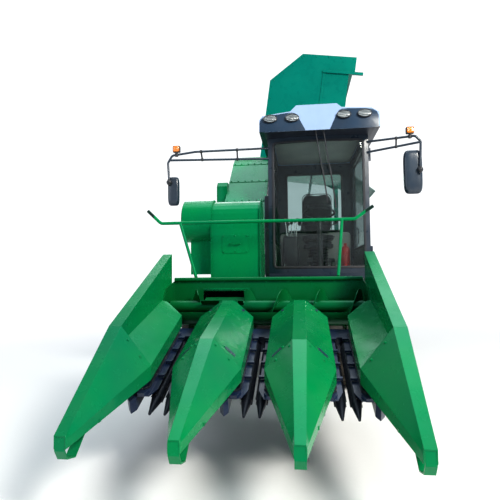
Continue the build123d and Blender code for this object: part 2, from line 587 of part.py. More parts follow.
# Driver's seat and controls
seat_x, seat_y = 560, 980
cushion = fillet(block(about(seat_x, 230), about(seat_y, 230), (z0 + 420, z0 + 540)).edges(), 40)
back_rest = fillet(block(about(seat_x, 220), (seat_y + 160, seat_y + 270), (z0 + 560, z0 + 1150)).edges(), 40)
seat_stand = block(about(seat_x, 150), about(seat_y, 170), (z0 + GAP, z0 + 425))
seat_stay = block(about(seat_x, 60), (seat_y + 180, seat_y + 250), (z0 + 430, z0 + 700))
PARTS["driver_seat"] = cushion + back_rest + seat_stand + seat_stay
column_top = Vector(seat_x, 470, z0 + 760)
column_foot = Vector(seat_x, 330, z0 + 40)
column = rod(tuple(column_foot), tuple(column_top), 32) + block(about(seat_x, 90), (270, 400), (z0 + GAP, z0 + 60))
wheel_plane = Plane(origin=tuple(column_top), z_dir=column_top - column_foot)
steering = wheel_plane * Torus(190, 14)
spokes = [wheel_plane * (Rot(0, 0, 120 * k) * block((0, 190), (-12, 12), (-6, 6))) for k in range(3)]
PARTS["driver_controls"] = column + steering + joined(spokes)

# Mirror arms, mirrors and amber lamps
arm_right = bent_tube([(x0 + 12, y0 + 18, 2760), (-885, MIRROR_Y, 2678), (-1160, MIRROR_Y, 2645),
                       (-1212, MIRROR_Y, 2560), (-1195, MIRROR_Y, 2300)], 13, 40)
arm_right = arm_right + rod((x0 + 12, y0 + 18, 2632), (-1190, MIRROR_Y, 2590), 13)
arm_left = bent_tube([(x1 - 12, y0 + 18, 2784), (1588, MIRROR_Y, 2752), (1646, MIRROR_Y, 2690),
                      (1630, MIRROR_Y, 2330)], 13, 40)
arm_left = arm_left + rod((x1 - 12, y0 + 18, 2660), (1640, MIRROR_Y, 2680), 13)
PARTS["mirror_arms"] = group([arm_right - PARTS["cab_front_frame"], arm_left - PARTS["cab_front_frame"]])
mirror_right = fillet(block((MIRROR_RIGHT_X, MIRROR_RIGHT_X + 134), about(MIRROR_Y + 43 + GAP, 30), (2062, 2405)).edges(), 20)
mirror_left = fillet(block((MIRROR_LEFT_X - 200, MIRROR_LEFT_X), about(MIRROR_Y + 43 + GAP, 30), (2118, 2608)).edges(), 20)
PARTS["mirrors"] = group([mirror_right, mirror_left])

# Elevator beside the cab: intake boot, box with a rounded front top, and sloping trunk
slope = tan(radians(ELEV_SLOPE))
turn_y = ELEV_FRONT_Y + 90


def trunk_z(y):
    return ELEV_BASE_Z + max(0, y - turn_y) * slope


hump_mid = (ELEV_FRONT_Y + HUMP_R, HUMP_TOP_Z - HUMP_R)
arc_points = [(hump_mid[0] - HUMP_R * cos(radians(a)), hump_mid[1] + HUMP_R * sin(radians(a))) for a in range(0, 181, 15)]
cover_y = hump_mid[0] + HUMP_R
elev_outline = ([(turn_y, ELEV_BASE_Z), (BOOT_FRONT_Y, ELEV_BASE_Z), (BOOT_FRONT_Y, BOOT_TOP_Z),
                 (ELEV_FRONT_Y, BOOT_TOP_Z + 90)] + arc_points
                + [(cover_y, trunk_z(cover_y) + ELEV_DEPTH), (ELEV_END_Y - 200, trunk_z(ELEV_END_Y - 200) + ELEV_DEPTH),
                   (ELEV_END_Y, trunk_z(ELEV_END_Y - 60) + ELEV_DEPTH), (ELEV_END_Y, trunk_z(ELEV_END_Y))])
trunk = along_x(elev_outline, *ELEV_X)
inside = [(turn_y + 3, ELEV_BASE_Z + 8), (BOOT_FRONT_Y - 20, ELEV_BASE_Z + 8), (BOOT_FRONT_Y - 20, BOOT_TOP_Z - 12),
          (ELEV_FRONT_Y, BOOT_TOP_Z + 82), (ELEV_FRONT_Y + 60, 1230), (ELEV_END_Y - 60, trunk_z(ELEV_END_Y - 60) + ELEV_DEPTH - 60),
          (ELEV_END_Y + 20, trunk_z(ELEV_END_Y) + 620), (ELEV_END_Y + 20, 2790), (ELEV_END_Y - 60, 2760),
          (ELEV_END_Y - 60, trunk_z(ELEV_END_Y - 60) + 12)]
trunk = trunk - along_x(inside, ELEV_X[0] + 8, ELEV_X[1] - 8)
hump_room = [(y, z) for y, z in [(hump_mid[0] - (HUMP_R - 8) * cos(radians(a)), hump_mid[1] + (HUMP_R - 8) * sin(radians(a)))
                                 for a in range(0, 181, 15)]]
hump_room = [(ELEV_FRONT_Y + 8, 1240)] + hump_room + [(hump_mid[0] + HUMP_R - 8, 1600)]
trunk = trunk - along_x(hump_room, ELEV_X[0] + 8, ELEV_X[1] - 8)
flange = along_y([(ELEV_X[0] - 90, 2330), (ELEV_X[0] + 4, 2330), (ELEV_X[0] + 4, 2430), (ELEV_X[0] - 90, 2430)],
                 1300, PORTAL_Y[0] - GAP)
foot = block(about(-RAIL_X, 35), (ELEV_FRONT_Y + 5, turn_y - 10), (RAIL_Z[1] + GAP, ELEV_BASE_Z + 2))
boot_rest = block(about(-RAIL_X + 40, 60), (-685, -610), (RAIL_Z[1] + GAP, ELEV_BASE_Z + 2))
PARTS["elevator"] = trunk + flange + foot + boot_rest

# Cleaning fan drum beside the elevator, on its stand
fan = rod((FAN_X[0], *hump_mid), (FAN_X[1], *hump_mid), 240)
fan = fan + along_x([(hump_mid[0] - 60, 1250), (hump_mid[0] + 160, 1250), (hump_mid[0] + 160, 1760), (hump_mid[0] - 60, 1760)],
                    -915, FAN_X[1])
PARTS["cleaning_fan"] = fan

# Portal frame that carries the bin
portal_bits = []
for low, high in (PORTAL_Y, PORTAL_REAR_Y):
    span = (low, high)
    portal_bits.append(block((965, 1045), span, (860, 2905)))
    portal_bits.append(block((-765, -695), span, (860, 1540)))
    portal_bits.append(block((-765, 1045), span, (860, 950)))
    portal_bits.append(block((-765, 1045), span, (1465, 1540)))
    for side in (-1, 1):
        portal_bits.append(block(about(side * RAIL_X, 38), span, (RAIL_Z[1] + GAP, 870)))
for x in (-300, 600):
    portal_bits.append(block(about(x, 35), (PORTAL_Y[0], PORTAL_REAR_Y[1]), (1465, 1540)))
portal_bits.append(block((-765, -695), PORTAL_Y, (1500, 2440)))
portal_bits.append(rod((BIN_X[1], PORTAL_Y[0], BIN_HINGE_Z), (BIN_X[1], BIN_Y[0] + 40, BIN_HINGE_Z), 28))
portal_bits.append(rod((BIN_X[1], BIN_Y[1] - 40, BIN_HINGE_Z), (BIN_X[1], PORTAL_REAR_Y[1], BIN_HINGE_Z), 28))
for y in BIN_CYL_Y:
    inner = PORTAL_Y[0] if y < 2000 else PORTAL_REAR_Y[1]
    low, high = sorted((inner, y))
    portal_bits.append(rod((BIN_BASE[0], inner, BIN_BASE[1]), (BIN_BASE[0], y + (16 if y < 2000 else -16), BIN_BASE[1]), 18))
    portal_bits.append(block(about(BIN_BASE[0], 30), PORTAL_Y if y < 2000 else PORTAL_REAR_Y, (1530, BIN_BASE[1] + 30)))
PARTS["bin_frame"] = joined(portal_bits)

# Ear bin, drawn level and then tipped about its hinge to the left
bx0, bx1 = BIN_X
by0, by1 = BIN_Y
bz1 = BIN_HINGE_Z
bz0 = bz1 - BIN_HIGH
wall_line = [(bx0, bz1), (bx0, bz0 + BIN_CHAMFER), (bx0 + BIN_CHAMFER, bz0), (bx1 - 20, bz0), (bx1 - 20, bz1 - 90),
             (bx0 + 285, bz1 - 90), (bx0 + 285, bz1)]
room = [(bx0 + BIN_SKIN, bz1 + 9), (bx0 + BIN_SKIN, bz0 + BIN_CHAMFER + 3), (bx0 + BIN_CHAMFER + 3, bz0 + BIN_SKIN),
        (bx1 - 20 - BIN_SKIN, bz0 + BIN_SKIN), (bx1 - 20 - BIN_SKIN, bz1 + 9)]
tub = along_y(wall_line, by0, by1) - along_y(room, by0 + BIN_SKIN, by1 - BIN_SKIN)
lugs = Part()
for low, high in ((by0, by0 + 30), (by1 - 30, by1)):
    lug = along_y([(bx1 - 130, bz1 - 95), (bx1 - 20, bz1 - 180), (bx1 + 36, bz1 - 40), (bx1 + 36, bz1 + 36), (bx1 - 36, bz1 + 36)],
                  low, high)
    lugs = lugs + lug
hinge_hole = rod((bx1, by0 - 50, bz1), (bx1, by1 + 50, bz1), 28 + GAP)
post = block(about(bx0 + 265, 20), (by0 - 30, by0 + 2), (bz1 - 490, bz1 + 124))
rib = block((bx0 + 265, bx1 - 30), (by0 - 12, by0 + 2), (bz1 - 490, bz1 - 460))
bin_tub = tub + lugs - hinge_hole + post + rib
HINGE_AXIS = Axis((BIN_X[1], 0, BIN_HINGE_Z), (0, 1, 0))
PARTS["ear_bin"] = bin_tub.rotate(HINGE_AXIS, BIN_TIP)

# Bin cylinders at the front and rear wall
tip = radians(BIN_TIP)
BIN_EYE_UP = (BIN_X[1] + BIN_EYE[0] * cos(tip) + BIN_EYE[1] * sin(tip),
              BIN_HINGE_Z - BIN_EYE[0] * sin(tip) + BIN_EYE[1] * cos(tip))
BIN_LONG = hypot(BIN_EYE_UP[0] - BIN_BASE[0], BIN_EYE_UP[1] - BIN_BASE[1])
bin_way = ((BIN_EYE_UP[0] - BIN_BASE[0]) / BIN_LONG, (BIN_EYE_UP[1] - BIN_BASE[1]) / BIN_LONG)
bin_barrels = []
bin_rods = []
for y in BIN_CYL_Y:
    def at(distance):
        return (BIN_BASE[0] + bin_way[0] * distance, y, BIN_BASE[1] + bin_way[1] * distance)
    tube = rod(at(60), at(835), 28) + rod(at(0), at(70), 16)
    tube = tube + rod((BIN_BASE[0], y - 14, BIN_BASE[1]), (BIN_BASE[0], y + 14, BIN_BASE[1]), 40)
    tube = tube - rod((BIN_BASE[0], y - 40, BIN_BASE[1]), (BIN_BASE[0], y + 40, BIN_BASE[1]), 18 + GAP)
    tube = tube - rod(at(100), at(840), 16 + GAP)
    bin_barrels.append(tube)
    piston = rod(at(780), at(BIN_LONG), 16)
    piston = piston + rod((BIN_EYE_UP[0], y - 14, BIN_EYE_UP[1]), (BIN_EYE_UP[0], y + 14, BIN_EYE_UP[1]), 32)
    bin_rods.append(piston)
PARTS["bin_barrels"] = group(bin_barrels)
PARTS["bin_rods"] = group(bin_rods)

# Stalk chopper under the middle of the machine
hood_ring = Plane.YZ * (Pos(CHOP_Y, CHOP_Z) * (Circle(CHOP_R + 46) - Circle(CHOP_R + 40)))
hood = Pos(-CHOP_X, 0, 0) * extrude(hood_ring, CHOP_X * 2)
hood = hood & block((-CHOP_X, CHOP_X), (CHOP_Y - 300, CHOP_Y + 300), (CHOP_Z - 20, CHOP_Z + 300))
cheek_outline = [(CHOP_Y - 246, CHOP_Z - 60), (CHOP_Y + 246, CHOP_Z - 60), (CHOP_Y + 246, CHOP_Z + 60),
                 (CHOP_Y + 140, CHOP_Z + 220), (CHOP_Y - 140, CHOP_Z + 220), (CHOP_Y - 246, CHOP_Z + 60)]
cheek = along_x(cheek_outline, CHOP_X - 8, CHOP_X) - rod((700, CHOP_Y, CHOP_Z), (900, CHOP_Y, CHOP_Z), 25 + GAP)
hangers = [block(about(RAIL_X, 30), about(y, 20), (CHOP_Z + 160, RAIL_Z[0] - GAP)) for y in (CHOP_Y - 120, CHOP_Y + 120)]
keep_out = Pos(-CHOP_X, 0, 0) * extrude(Plane.YZ * (Pos(CHOP_Y, CHOP_Z) * Circle(CHOP_R + 40)), CHOP_X * 2)
PARTS["chopper_housing"] = hood + on_both_sides(cheek + (joined(hangers) - keep_out))
rotor = rod((-CHOP_X, CHOP_Y, CHOP_Z), (CHOP_X, CHOP_Y, CHOP_Z), 25)
rotor = rotor + rod((-CHOP_X + 30, CHOP_Y, CHOP_Z), (CHOP_X - 30, CHOP_Y, CHOP_Z), 60)
for k in range(12):
    blade = block(about(-715 + 130 * k, 25), (CHOP_Y - 4, CHOP_Y + 4), (CHOP_Z + 50, CHOP_Z + CHOP_R))
    rotor = rotor + blade.rotate(Axis((0, CHOP_Y, CHOP_Z), (1, 0, 0)), 120 * k)
PARTS["chopper_rotor"] = rotor

# Steps up to the door
steps = Part()
for k, z in enumerate((420, 700, 980)):
    steps = steps + block((1000, 1180), (820, 1180), (z, z + 20))
for y in (810, 1170):
    steps = steps + along_y([(1090, 420), (1180, 420), (1180, 1000), (1090, 1190 - GAP), (1060, 1190 - GAP), (1060, 1000)], y, y + 20)
steps = steps + block((1060, 1100), (810, 1300 - GAP), (1140, 1180))
PARTS["cab_steps"] = steps

# The machine is moved so that the middle of its outline stands over the origin
boxes = [shape.bounding_box() for shape in PARTS.values()]
ORIGIN_X = (min(b.min.X for b in boxes) + max(b.max.X for b in boxes)) / 2
ORIGIN_Y = (min(b.min.Y for b in boxes) + max(b.max.Y for b in boxes)) / 2

ON_WHEELS = ("front_axle", "front_tyre", "front_rim", "rear_axle", "rear_tyre", "rear_rim", "knuckle", "tie_rod")
os.makedirs("parts", exist_ok=True)
for node, shape in PARTS.items():
    lift = 0 if node.startswith(ON_WHEELS) else RIDE
    export_step(Pos(-ORIGIN_X, -ORIGIN_Y, lift) * shape, "parts/" + node + ".step")
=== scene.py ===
# %% [markdown]
# # Dressing a corn harvester
# The machine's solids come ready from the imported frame, so nothing of its structure is
# drawn here. This lesson gives every solid a finish, and adds the thin pieces that a
# structural model leaves out: wipers, lamp guards, seals, bolts, chain links, cab fittings.

# %% Load the frame
from math import pi

import bmesh
import bpy
import numpy as np
from mathutils import Matrix, Vector
from mathutils.bvhtree import BVHTree


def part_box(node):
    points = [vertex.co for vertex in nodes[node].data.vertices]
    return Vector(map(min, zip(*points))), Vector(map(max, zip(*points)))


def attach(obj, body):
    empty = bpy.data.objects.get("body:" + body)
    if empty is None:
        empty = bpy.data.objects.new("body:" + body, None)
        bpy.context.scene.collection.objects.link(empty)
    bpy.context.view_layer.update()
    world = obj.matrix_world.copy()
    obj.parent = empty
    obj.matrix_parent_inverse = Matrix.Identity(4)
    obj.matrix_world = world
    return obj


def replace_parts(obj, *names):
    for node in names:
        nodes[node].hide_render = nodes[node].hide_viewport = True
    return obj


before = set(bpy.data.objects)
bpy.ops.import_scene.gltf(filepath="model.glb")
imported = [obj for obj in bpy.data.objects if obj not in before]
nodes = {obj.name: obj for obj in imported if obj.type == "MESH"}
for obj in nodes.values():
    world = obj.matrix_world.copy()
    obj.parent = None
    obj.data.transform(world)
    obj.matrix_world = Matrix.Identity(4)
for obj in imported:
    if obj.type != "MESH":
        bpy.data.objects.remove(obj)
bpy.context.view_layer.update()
scene = bpy.context.scene

# %% [markdown]
# ## Places
# The machine was drawn in millimetres from a point on the ground under the front axle.
# The frame is in metres about the middle of the outline. The two front tyres show where
# the drawing's zero went, so one small function turns drawing places into frame places.
# Directions are named as the driver sees them, who looks along -Y.

# %% Drawing places and directions
near_low, near_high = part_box("front_tyre_left")
far_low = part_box("front_tyre_right")[0]
ZERO = np.array([(far_low.x + near_high.x) / 2, (near_low.y + near_high.y) / 2, 0.0])
LEFT, RIGHT = (1, 0, 0), (-1, 0, 0)
REAR, FRONT = (0, 1, 0), (0, -1, 0)
UP, DOWN = (0, 0, 1), (0, 0, -1)


def at(*place):
    """Drawing millimetres, one point or an array of them, as metres of the frame."""
    points = place[0] if len(place) == 1 else place
    return np.asarray(points, float) / 1000 + ZERO


print("drawing zero at", ZERO.round(4))

# %% [markdown]
# ## Camera, floor and light
# The photograph was taken from low in front of the machine with a short lens, close to the
# noses of the header. The camera stands at that place. The floor is a wide pale disc, and
# big soft lamps stand round the machine, so that the paint shows long soft reflections.

# %% Camera
CAMERA_AT = (314, -5024, 1269)
LENS_MM = 30.84
YAW, PITCH, ROLL = 0.117, 0.052, -0.010
camera_data = bpy.data.cameras.new("photo_camera")
camera_data.lens = LENS_MM
camera_data.sensor_width = 36.0
camera_data.clip_end = 300
camera = bpy.data.objects.new("photo_camera", camera_data)
tilt = Matrix.Rotation(pi / 2 + PITCH, 4, "X") @ Matrix.Rotation(ROLL, 4, "Z")
camera.matrix_world = Matrix.Translation(at(CAMERA_AT)) @ Matrix.Rotation(YAW, 4, "Z") @ tilt
scene.collection.objects.link(camera)
scene.camera = camera
print("camera at", [round(v, 3) for v in camera.location])

# %% Lights
LIGHTS = (
    # name, place in metres, size, watts, colour
    ("key", (5.5, -6.5, 6.5), 3.0, 1050, (1.0, 0.97, 0.90)),
    ("fill", (-6.5, -6.0, 4.0), 5.0, 120, (0.84, 0.92, 1.0)),
    ("top", (0.0, 1.0, 9.0), 7.0, 330, (0.86, 0.94, 1.0)),
    ("back", (-3.5, 8.5, 6.0), 6.0, 300, (0.94, 0.97, 1.0)),
)
LIT_POINT = Vector((0, 0, 1.2))
for name, place, size, watts, colour in LIGHTS:
    lamp = bpy.data.lights.new(name, "AREA")
    lamp.size, lamp.energy, lamp.color = size, watts, colour
    holder = bpy.data.objects.new(name, lamp)
    holder.location = place
    holder.rotation_euler = (LIT_POINT - Vector(place)).to_track_quat("-Z", "Y").to_euler()
    scene.collection.objects.link(holder)
print(len(LIGHTS), "soft lamps")

# %% Surroundings: a dim sky for light, a brighter one for reflections, white paper behind
SKY_LIGHT, SKY_GLOSS = 0.20, 0.40
PAPER = (0.97, 0.98, 1.0, 1)
world = bpy.data.worlds.new("pale_studio")
world.use_nodes = True
world_nodes, join = world.node_tree.nodes, world.node_tree.links.new
sky = world_nodes["Background"]
sky.inputs["Color"].default_value = (0.86, 0.93, 1.0, 1)
paper = world_nodes.new("ShaderNodeBackground")
paper.inputs["Color"].default_value = PAPER
seen = world_nodes.new("ShaderNodeLightPath")
choice = world_nodes.new("ShaderNodeMixShader")
brighter = world_nodes.new("ShaderNodeMath")
brighter.operation = "MULTIPLY_ADD"
brighter.inputs[1].default_value, brighter.inputs[2].default_value = SKY_GLOSS, SKY_LIGHT
join(seen.outputs["Is Glossy Ray"], brighter.inputs[0])
join(brighter.outputs[0], sky.inputs["Strength"])
join(seen.outputs["Is Camera Ray"], choice.inputs["Fac"])
join(sky.outputs[0], choice.inputs[1])
join(paper.outputs[0], choice.inputs[2])
join(choice.outputs[0], world_nodes["World Output"].inputs["Surface"])
scene.world = world
scene.view_settings.view_transform = "Standard"
scene.view_settings.look = "Medium High Contrast"
print("surroundings:", world.name)

# %% [markdown]
# ## Surfaces from arrays
# Every added piece is a grid of points worked out with numpy. Three makers cover almost
# everything: a profile turned round an axis, a closed profile carried along a path, and a
# flat plate with a rounded outline. A fourth repeats one shape at many places at once.

# %% Grid and piece


def grid(points, wrap=(False, True)):
    """Corner points and quads of a grid; a wrapped direction joins its end to its start."""
    rows, columns = points.shape[:2]
    i, j = np.meshgrid(np.arange(rows - (not wrap[0])), np.arange(columns - (not wrap[1])), indexing="ij")
    k, m = (i + 1) % rows, (j + 1) % columns
    quads = np.stack([i * columns + j, i * columns + m, k * columns + m, k * columns + j], -1)
    return points.reshape(-1, 3), quads.reshape(-1, 4)


def together(shapes):
    """Several (points, quads) as one, each with its quads counted on from the one before."""
    counts = np.cumsum([0] + [len(points) for points, quads in shapes])
    quads = [quads + start for (points, quads), start in zip(shapes, counts)]
    return np.concatenate([points for points, _ in shapes]), np.concatenate(quads)


def piece(name, shapes, body, finish, sharp=35):
    """Mesh object from shapes, closed at its poles, facing outwards, riding on a body."""
    points, quads = together(shapes)
    mesh = bpy.data.meshes.new(name)
    mesh.from_pydata(points.tolist(), [], quads.tolist())
    work = bmesh.new()
    work.from_mesh(mesh)
    bmesh.ops.remove_doubles(work, verts=work.verts, dist=1e-5)
    bmesh.ops.recalc_face_normals(work, faces=work.faces)
    work.to_mesh(mesh)
    work.free()
    mesh.polygons.foreach_set("use_smooth", np.ones(len(mesh.polygons), bool))
    mesh.set_sharp_from_angle(angle=sharp * pi / 180)
    mesh.materials.append(finish)
    thing = bpy.data.objects.new(name, mesh)
    scene.collection.objects.link(thing)
    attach(thing, body)
    print(name, len(mesh.polygons), "faces on", body)
    return thing


# %% Turned and carried shapes


def unit(vectors):
    """Vectors of length one."""
    vectors = np.asarray(vectors, float)
    return vectors / np.linalg.norm(vectors, axis=-1, keepdims=True)


def turned(profile, sides):
    """Profile of (radius, height) in metres turned round Z."""
    profile = np.asarray(profile, float)
    angle = np.linspace(0, 2 * pi, sides, endpoint=False)
    height = np.repeat(profile[:, 1:], sides, 1)
    return grid(np.stack([profile[:, :1] * np.cos(angle), profile[:, :1] * np.sin(angle), height], -1))


def circle(radius, sides):
    """Round profile, with its start and end not repeated."""
    angle = np.linspace(0, 2 * pi, sides, endpoint=False)
    return np.stack([radius * np.cos(angle), radius * np.sin(angle)], -1)


def rounded(width, height, power, count):
    """Outline between an ellipse (power 2) and a rectangle (high power), by the superellipse rule."""
    angle = np.linspace(0, 2 * pi, count, endpoint=False)
    c, s = np.cos(angle), np.sin(angle)
    bend = 2 / power
    x = width / 2 * np.sign(c) * np.abs(c) ** bend
    return np.stack([x, height / 2 * np.sign(s) * np.abs(s) ** bend], -1)


def carried(profile, path, up=UP, loop=False):
    """Closed profile of (side, height) carried along a path; height leans towards up."""
    path = np.asarray(path, float)
    along = unit(np.roll(path, -1, 0) - np.roll(path, 1, 0)) if loop else unit(np.gradient(path, axis=0))
    side = unit(np.cross(along, np.asarray(up, float)))
    rise = np.cross(side, along)
    rows = path[:, None] + profile[:, :1] * side[:, None] + profile[:, 1:] * rise[:, None]
    if not loop:
        ends = np.repeat(path[[0, -1], None], len(profile), 1)
        rows = np.concatenate([ends[:1], rows, ends[1:]])
    return grid(rows, wrap=(loop, True))


def bent(points, reach, steps=6):
    """Corner points in metres as a path, with each inner corner rounded by a parabola."""
    points = np.asarray(points, float)
    corner = points[1:-1, None]
    start = corner + reach * unit(points[:-2, None] - corner)
    end = corner + reach * unit(points[2:, None] - corner)
    t = np.linspace(0, 1, steps)[None, :, None]
    curve = (1 - t) ** 2 * start + 2 * t * (1 - t) * corner + t ** 2 * end
    return np.concatenate([points[:1], curve.reshape(-1, 3), points[-1:]])


# %% Flat, repeated and landed shapes


def plate(outline, thick, middle, across=LEFT, upward=UP, edge=0.001):
    """Flat plate on the side of its middle that faces across x upward, with eased front edges."""
    across, upward = unit(across), unit(upward)
    out = np.cross(across, upward)
    shrink = 1 - edge / np.abs(outline).max()
    levels = np.array([0, 0, thick - edge, thick, thick])
    scales = np.array([0, 1, 1, shrink, 0])
    flat = outline[:, :1] * across + outline[:, 1:] * upward
    return grid(np.asarray(middle) + scales[:, None, None] * flat + levels[:, None, None] * out)


def repeated(shape, places, rise=UP, lead=LEFT):
    """The shape at each place, its Z along rise and its X near lead, as one array."""
    points, quads = shape
    places = np.atleast_2d(places)
    rise = np.broadcast_to(unit(rise), places.shape)
    lead = np.broadcast_to(np.asarray(lead, float), places.shape)
    lead = unit(lead - (lead * rise).sum(-1, keepdims=True) * rise)
    third = np.cross(rise, lead)
    copies = (places[:, None] + points[:, 0:1] * lead[:, None] + points[:, 1:2] * third[:, None]
              + points[:, 2:3] * rise[:, None])
    counted = quads[None] + np.arange(len(places))[:, None, None] * len(points)
    return copies.reshape(-1, 3), counted.reshape(-1, 4)


def landed(node, starts, direction):
    """Where rays from the starts first meet a solid, and its outward normals there."""
    tree = BVHTree.FromObject(nodes[node], bpy.context.evaluated_depsgraph_get())
    hits = [tree.ray_cast(Vector(start), Vector(direction)) for start in np.atleast_2d(starts)]
    hits = [hit for hit in hits if hit[0] is not None]
    return np.array([hit[0] for hit in hits]), np.array([hit[1] for hit in hits])


# %% Floor
FLOOR_RADIUS, FLOOR_Z = 40.0, -0.002
floor_points, floor_quads = turned([(0, FLOOR_Z), (6, FLOOR_Z), (FLOOR_RADIUS, FLOOR_Z)], 64)
floor_mesh = bpy.data.meshes.new("floor")
floor_mesh.from_pydata(floor_points.tolist(), [], floor_quads.tolist())
floor = bpy.data.objects.new("floor", floor_mesh)
scene.collection.objects.link(floor)
print("floor", FLOOR_RADIUS, "m in radius")

# %% [markdown]
# ## Shared effects
# Paint on a field machine is never even. Four effects are used by many finishes, so each is
# a node group: bare edges found by comparing the true normal with a softened one, dust that
# thickens towards the ground, slow changes of tone, and the fine ripple of sprayed paint.

# %% Node helpers


def fill(tree, socket, value):
    """Links another socket, or sets a plain value."""
    if isinstance(value, bpy.types.NodeSocket):
        tree.links.new(value, socket)
    else:
        socket.default_value = value


def add(tree, kind, *ordered, **named):
    """A shader node; names that aren't sockets are settings. Gives back its outputs."""
    item = tree.nodes.new("ShaderNode" + kind)
    sockets = {key: value for key, value in named.items() if key.replace("_", " ") in item.inputs}
    for key in named.keys() - sockets.keys():
        setattr(item, key, named[key])
    for key, value in sockets.items():
        fill(tree, item.inputs[key.replace("_", " ")], value)
    for socket, value in zip(item.inputs, ordered):
        fill(tree, socket, value)
    return item.outputs


def math(tree, operation, *values):
    """One arithmetic step."""
    return add(tree, "Math", *values, operation=operation)[0]


def spread(tree, value, low, high, to_low=0.0, to_high=1.0):
    """Value from low to high stretched to another span and held there."""
    return add(tree, "MapRange", Value=value, From_Min=low, From_Max=high, To_Min=to_low, To_Max=to_high)[0]


def place_of(tree):
    """The piece's own coordinates in metres."""
    return add(tree, "TexCoord")["Object"]


def noise(tree, scale, detail, **more):
    """Noise over the piece's own coordinates, with the scale in patches to the metre."""
    return add(tree, "TexNoise", Vector=place_of(tree), Scale=scale, Detail=detail, **more)[0]


def facing_up(tree):
    """How far the surface faces upwards, from -1 to 1."""
    return add(tree, "SeparateXYZ", add(tree, "NewGeometry")["Normal"])["Z"]


def effect(name, inputs, output):
    """Empty node group with named float inputs and one output."""
    tree = bpy.data.node_groups.new(name, "ShaderNodeTree")
    for label, value in inputs:
        tree.interface.new_socket(label, in_out="INPUT", socket_type="NodeSocketFloat").default_value = value
    tree.interface.new_socket(output, in_out="OUTPUT", socket_type="NodeSocketFloat")
    return tree, tree.nodes.new("NodeGroupInput").outputs, tree.nodes.new("NodeGroupOutput").inputs[output]


# %% Edge wear, dust, tone and ripple
wear_tree, given, result = effect("edge_wear", [("Width", 0.004), ("Amount", 0.5), ("Scale", 30.0)], "Mask")
soft = add(wear_tree, "Bevel", samples=4, Radius=given["Width"])["Normal"]
true = add(wear_tree, "NewGeometry")["Normal"]
agree = add(wear_tree, "VectorMath", soft, true, operation="DOT_PRODUCT")["Value"]
edge = spread(wear_tree, math(wear_tree, "SUBTRACT", 1.0, agree), 0.02, 0.22)
broken = spread(wear_tree, noise(wear_tree, given["Scale"], 6.0, Roughness=0.7), 0.50, 0.62)
chipped = math(wear_tree, "MULTIPLY", edge, broken)
fill(wear_tree, result, math(wear_tree, "MULTIPLY", chipped, given["Amount"]))

dust_tree, given, result = effect("field_dust", [("Low", 0.2), ("High", 1.4), ("Amount", 0.5)], "Mask")
height = add(dust_tree, "SeparateXYZ", place_of(dust_tree))["Z"]
low_part = spread(dust_tree, height, given["Low"], given["High"], 1.0, 0.12)
lying = spread(dust_tree, facing_up(dust_tree), 0.3, 1.0, 0.55, 1.0)
cloud = spread(dust_tree, noise(dust_tree, 5.0, 5.0, Roughness=0.65), 0.35, 0.75)
settled = math(dust_tree, "MULTIPLY", math(dust_tree, "MULTIPLY", low_part, lying), cloud)
fill(dust_tree, result, math(dust_tree, "MULTIPLY", settled, given["Amount"]))

tone_tree, given, result = effect("slow_tone", [("Scale", 1.6)], "Tone")
fill(tone_tree, result, spread(tone_tree, noise(tone_tree, given["Scale"], 3.0, Roughness=0.5), 0.3, 0.7))

ripple_tree, given, result = effect("paint_ripple", [("Peel", 260.0), ("Waves", 5.0)], "Height")
peel = math(ripple_tree, "MULTIPLY", noise(ripple_tree, given["Peel"], 2.0), 0.04)
fill(ripple_tree, result, math(ripple_tree, "ADD", peel, noise(ripple_tree, given["Waves"], 1.0)))
print("effects:", [tree.name for tree in (wear_tree, dust_tree, tone_tree, ripple_tree)])

# %% [markdown]
# ## Finishes
# Most of the machine is one glossy green sprayed over folded sheet steel, with a bluer green
# on the bin. Frames and row units are a near-black navy. One function builds a painted
# finish from the shared effects, and the other finishes follow with their own patterns.

# %% Starting a material


def start(name):
    """New material with an empty shader, its tree and the shader node."""
    material = bpy.data.materials.new(name)
    material.use_nodes = True
    tree = material.node_tree
    return material, tree, tree.nodes["Principled BSDF"]


def use(tree, group_tree, **values):
    """A shared effect placed in a material with its own values."""
    item = tree.nodes.new("ShaderNodeGroup")
    item.node_tree = group_tree
    for key, value in values.items():
        item.inputs[key].default_value = value
    return item.outputs[0]


def blend_colour(tree, factor, first, second):
    """Colour between two others; plain colours are (r, g, b)."""
    first, second = [(*c, 1) if isinstance(c, tuple) else c for c in (first, second)]
    return add(tree, "MixRGB", factor, first, second)[0]


def bump(tree, shader, height, strength, depth, ease=0.0):
    """Height in metres of relief as a bend of the normal, over edges that are eased by a radius."""
    relief = add(tree, "Bump", Height=height, Strength=strength, Distance=depth)["Normal"]
    if ease:
        fill(tree, relief.node.inputs["Normal"], add(tree, "Bevel", samples=4, Radius=ease)["Normal"])
    tree.links.new(relief, shader.inputs["Normal"])


# %% Painted steel
DUST = (0.30, 0.25, 0.17)
BARE_STEEL = (0.24, 0.24, 0.23)
GRIP_RUBBER = (0.010, 0.010, 0.011)


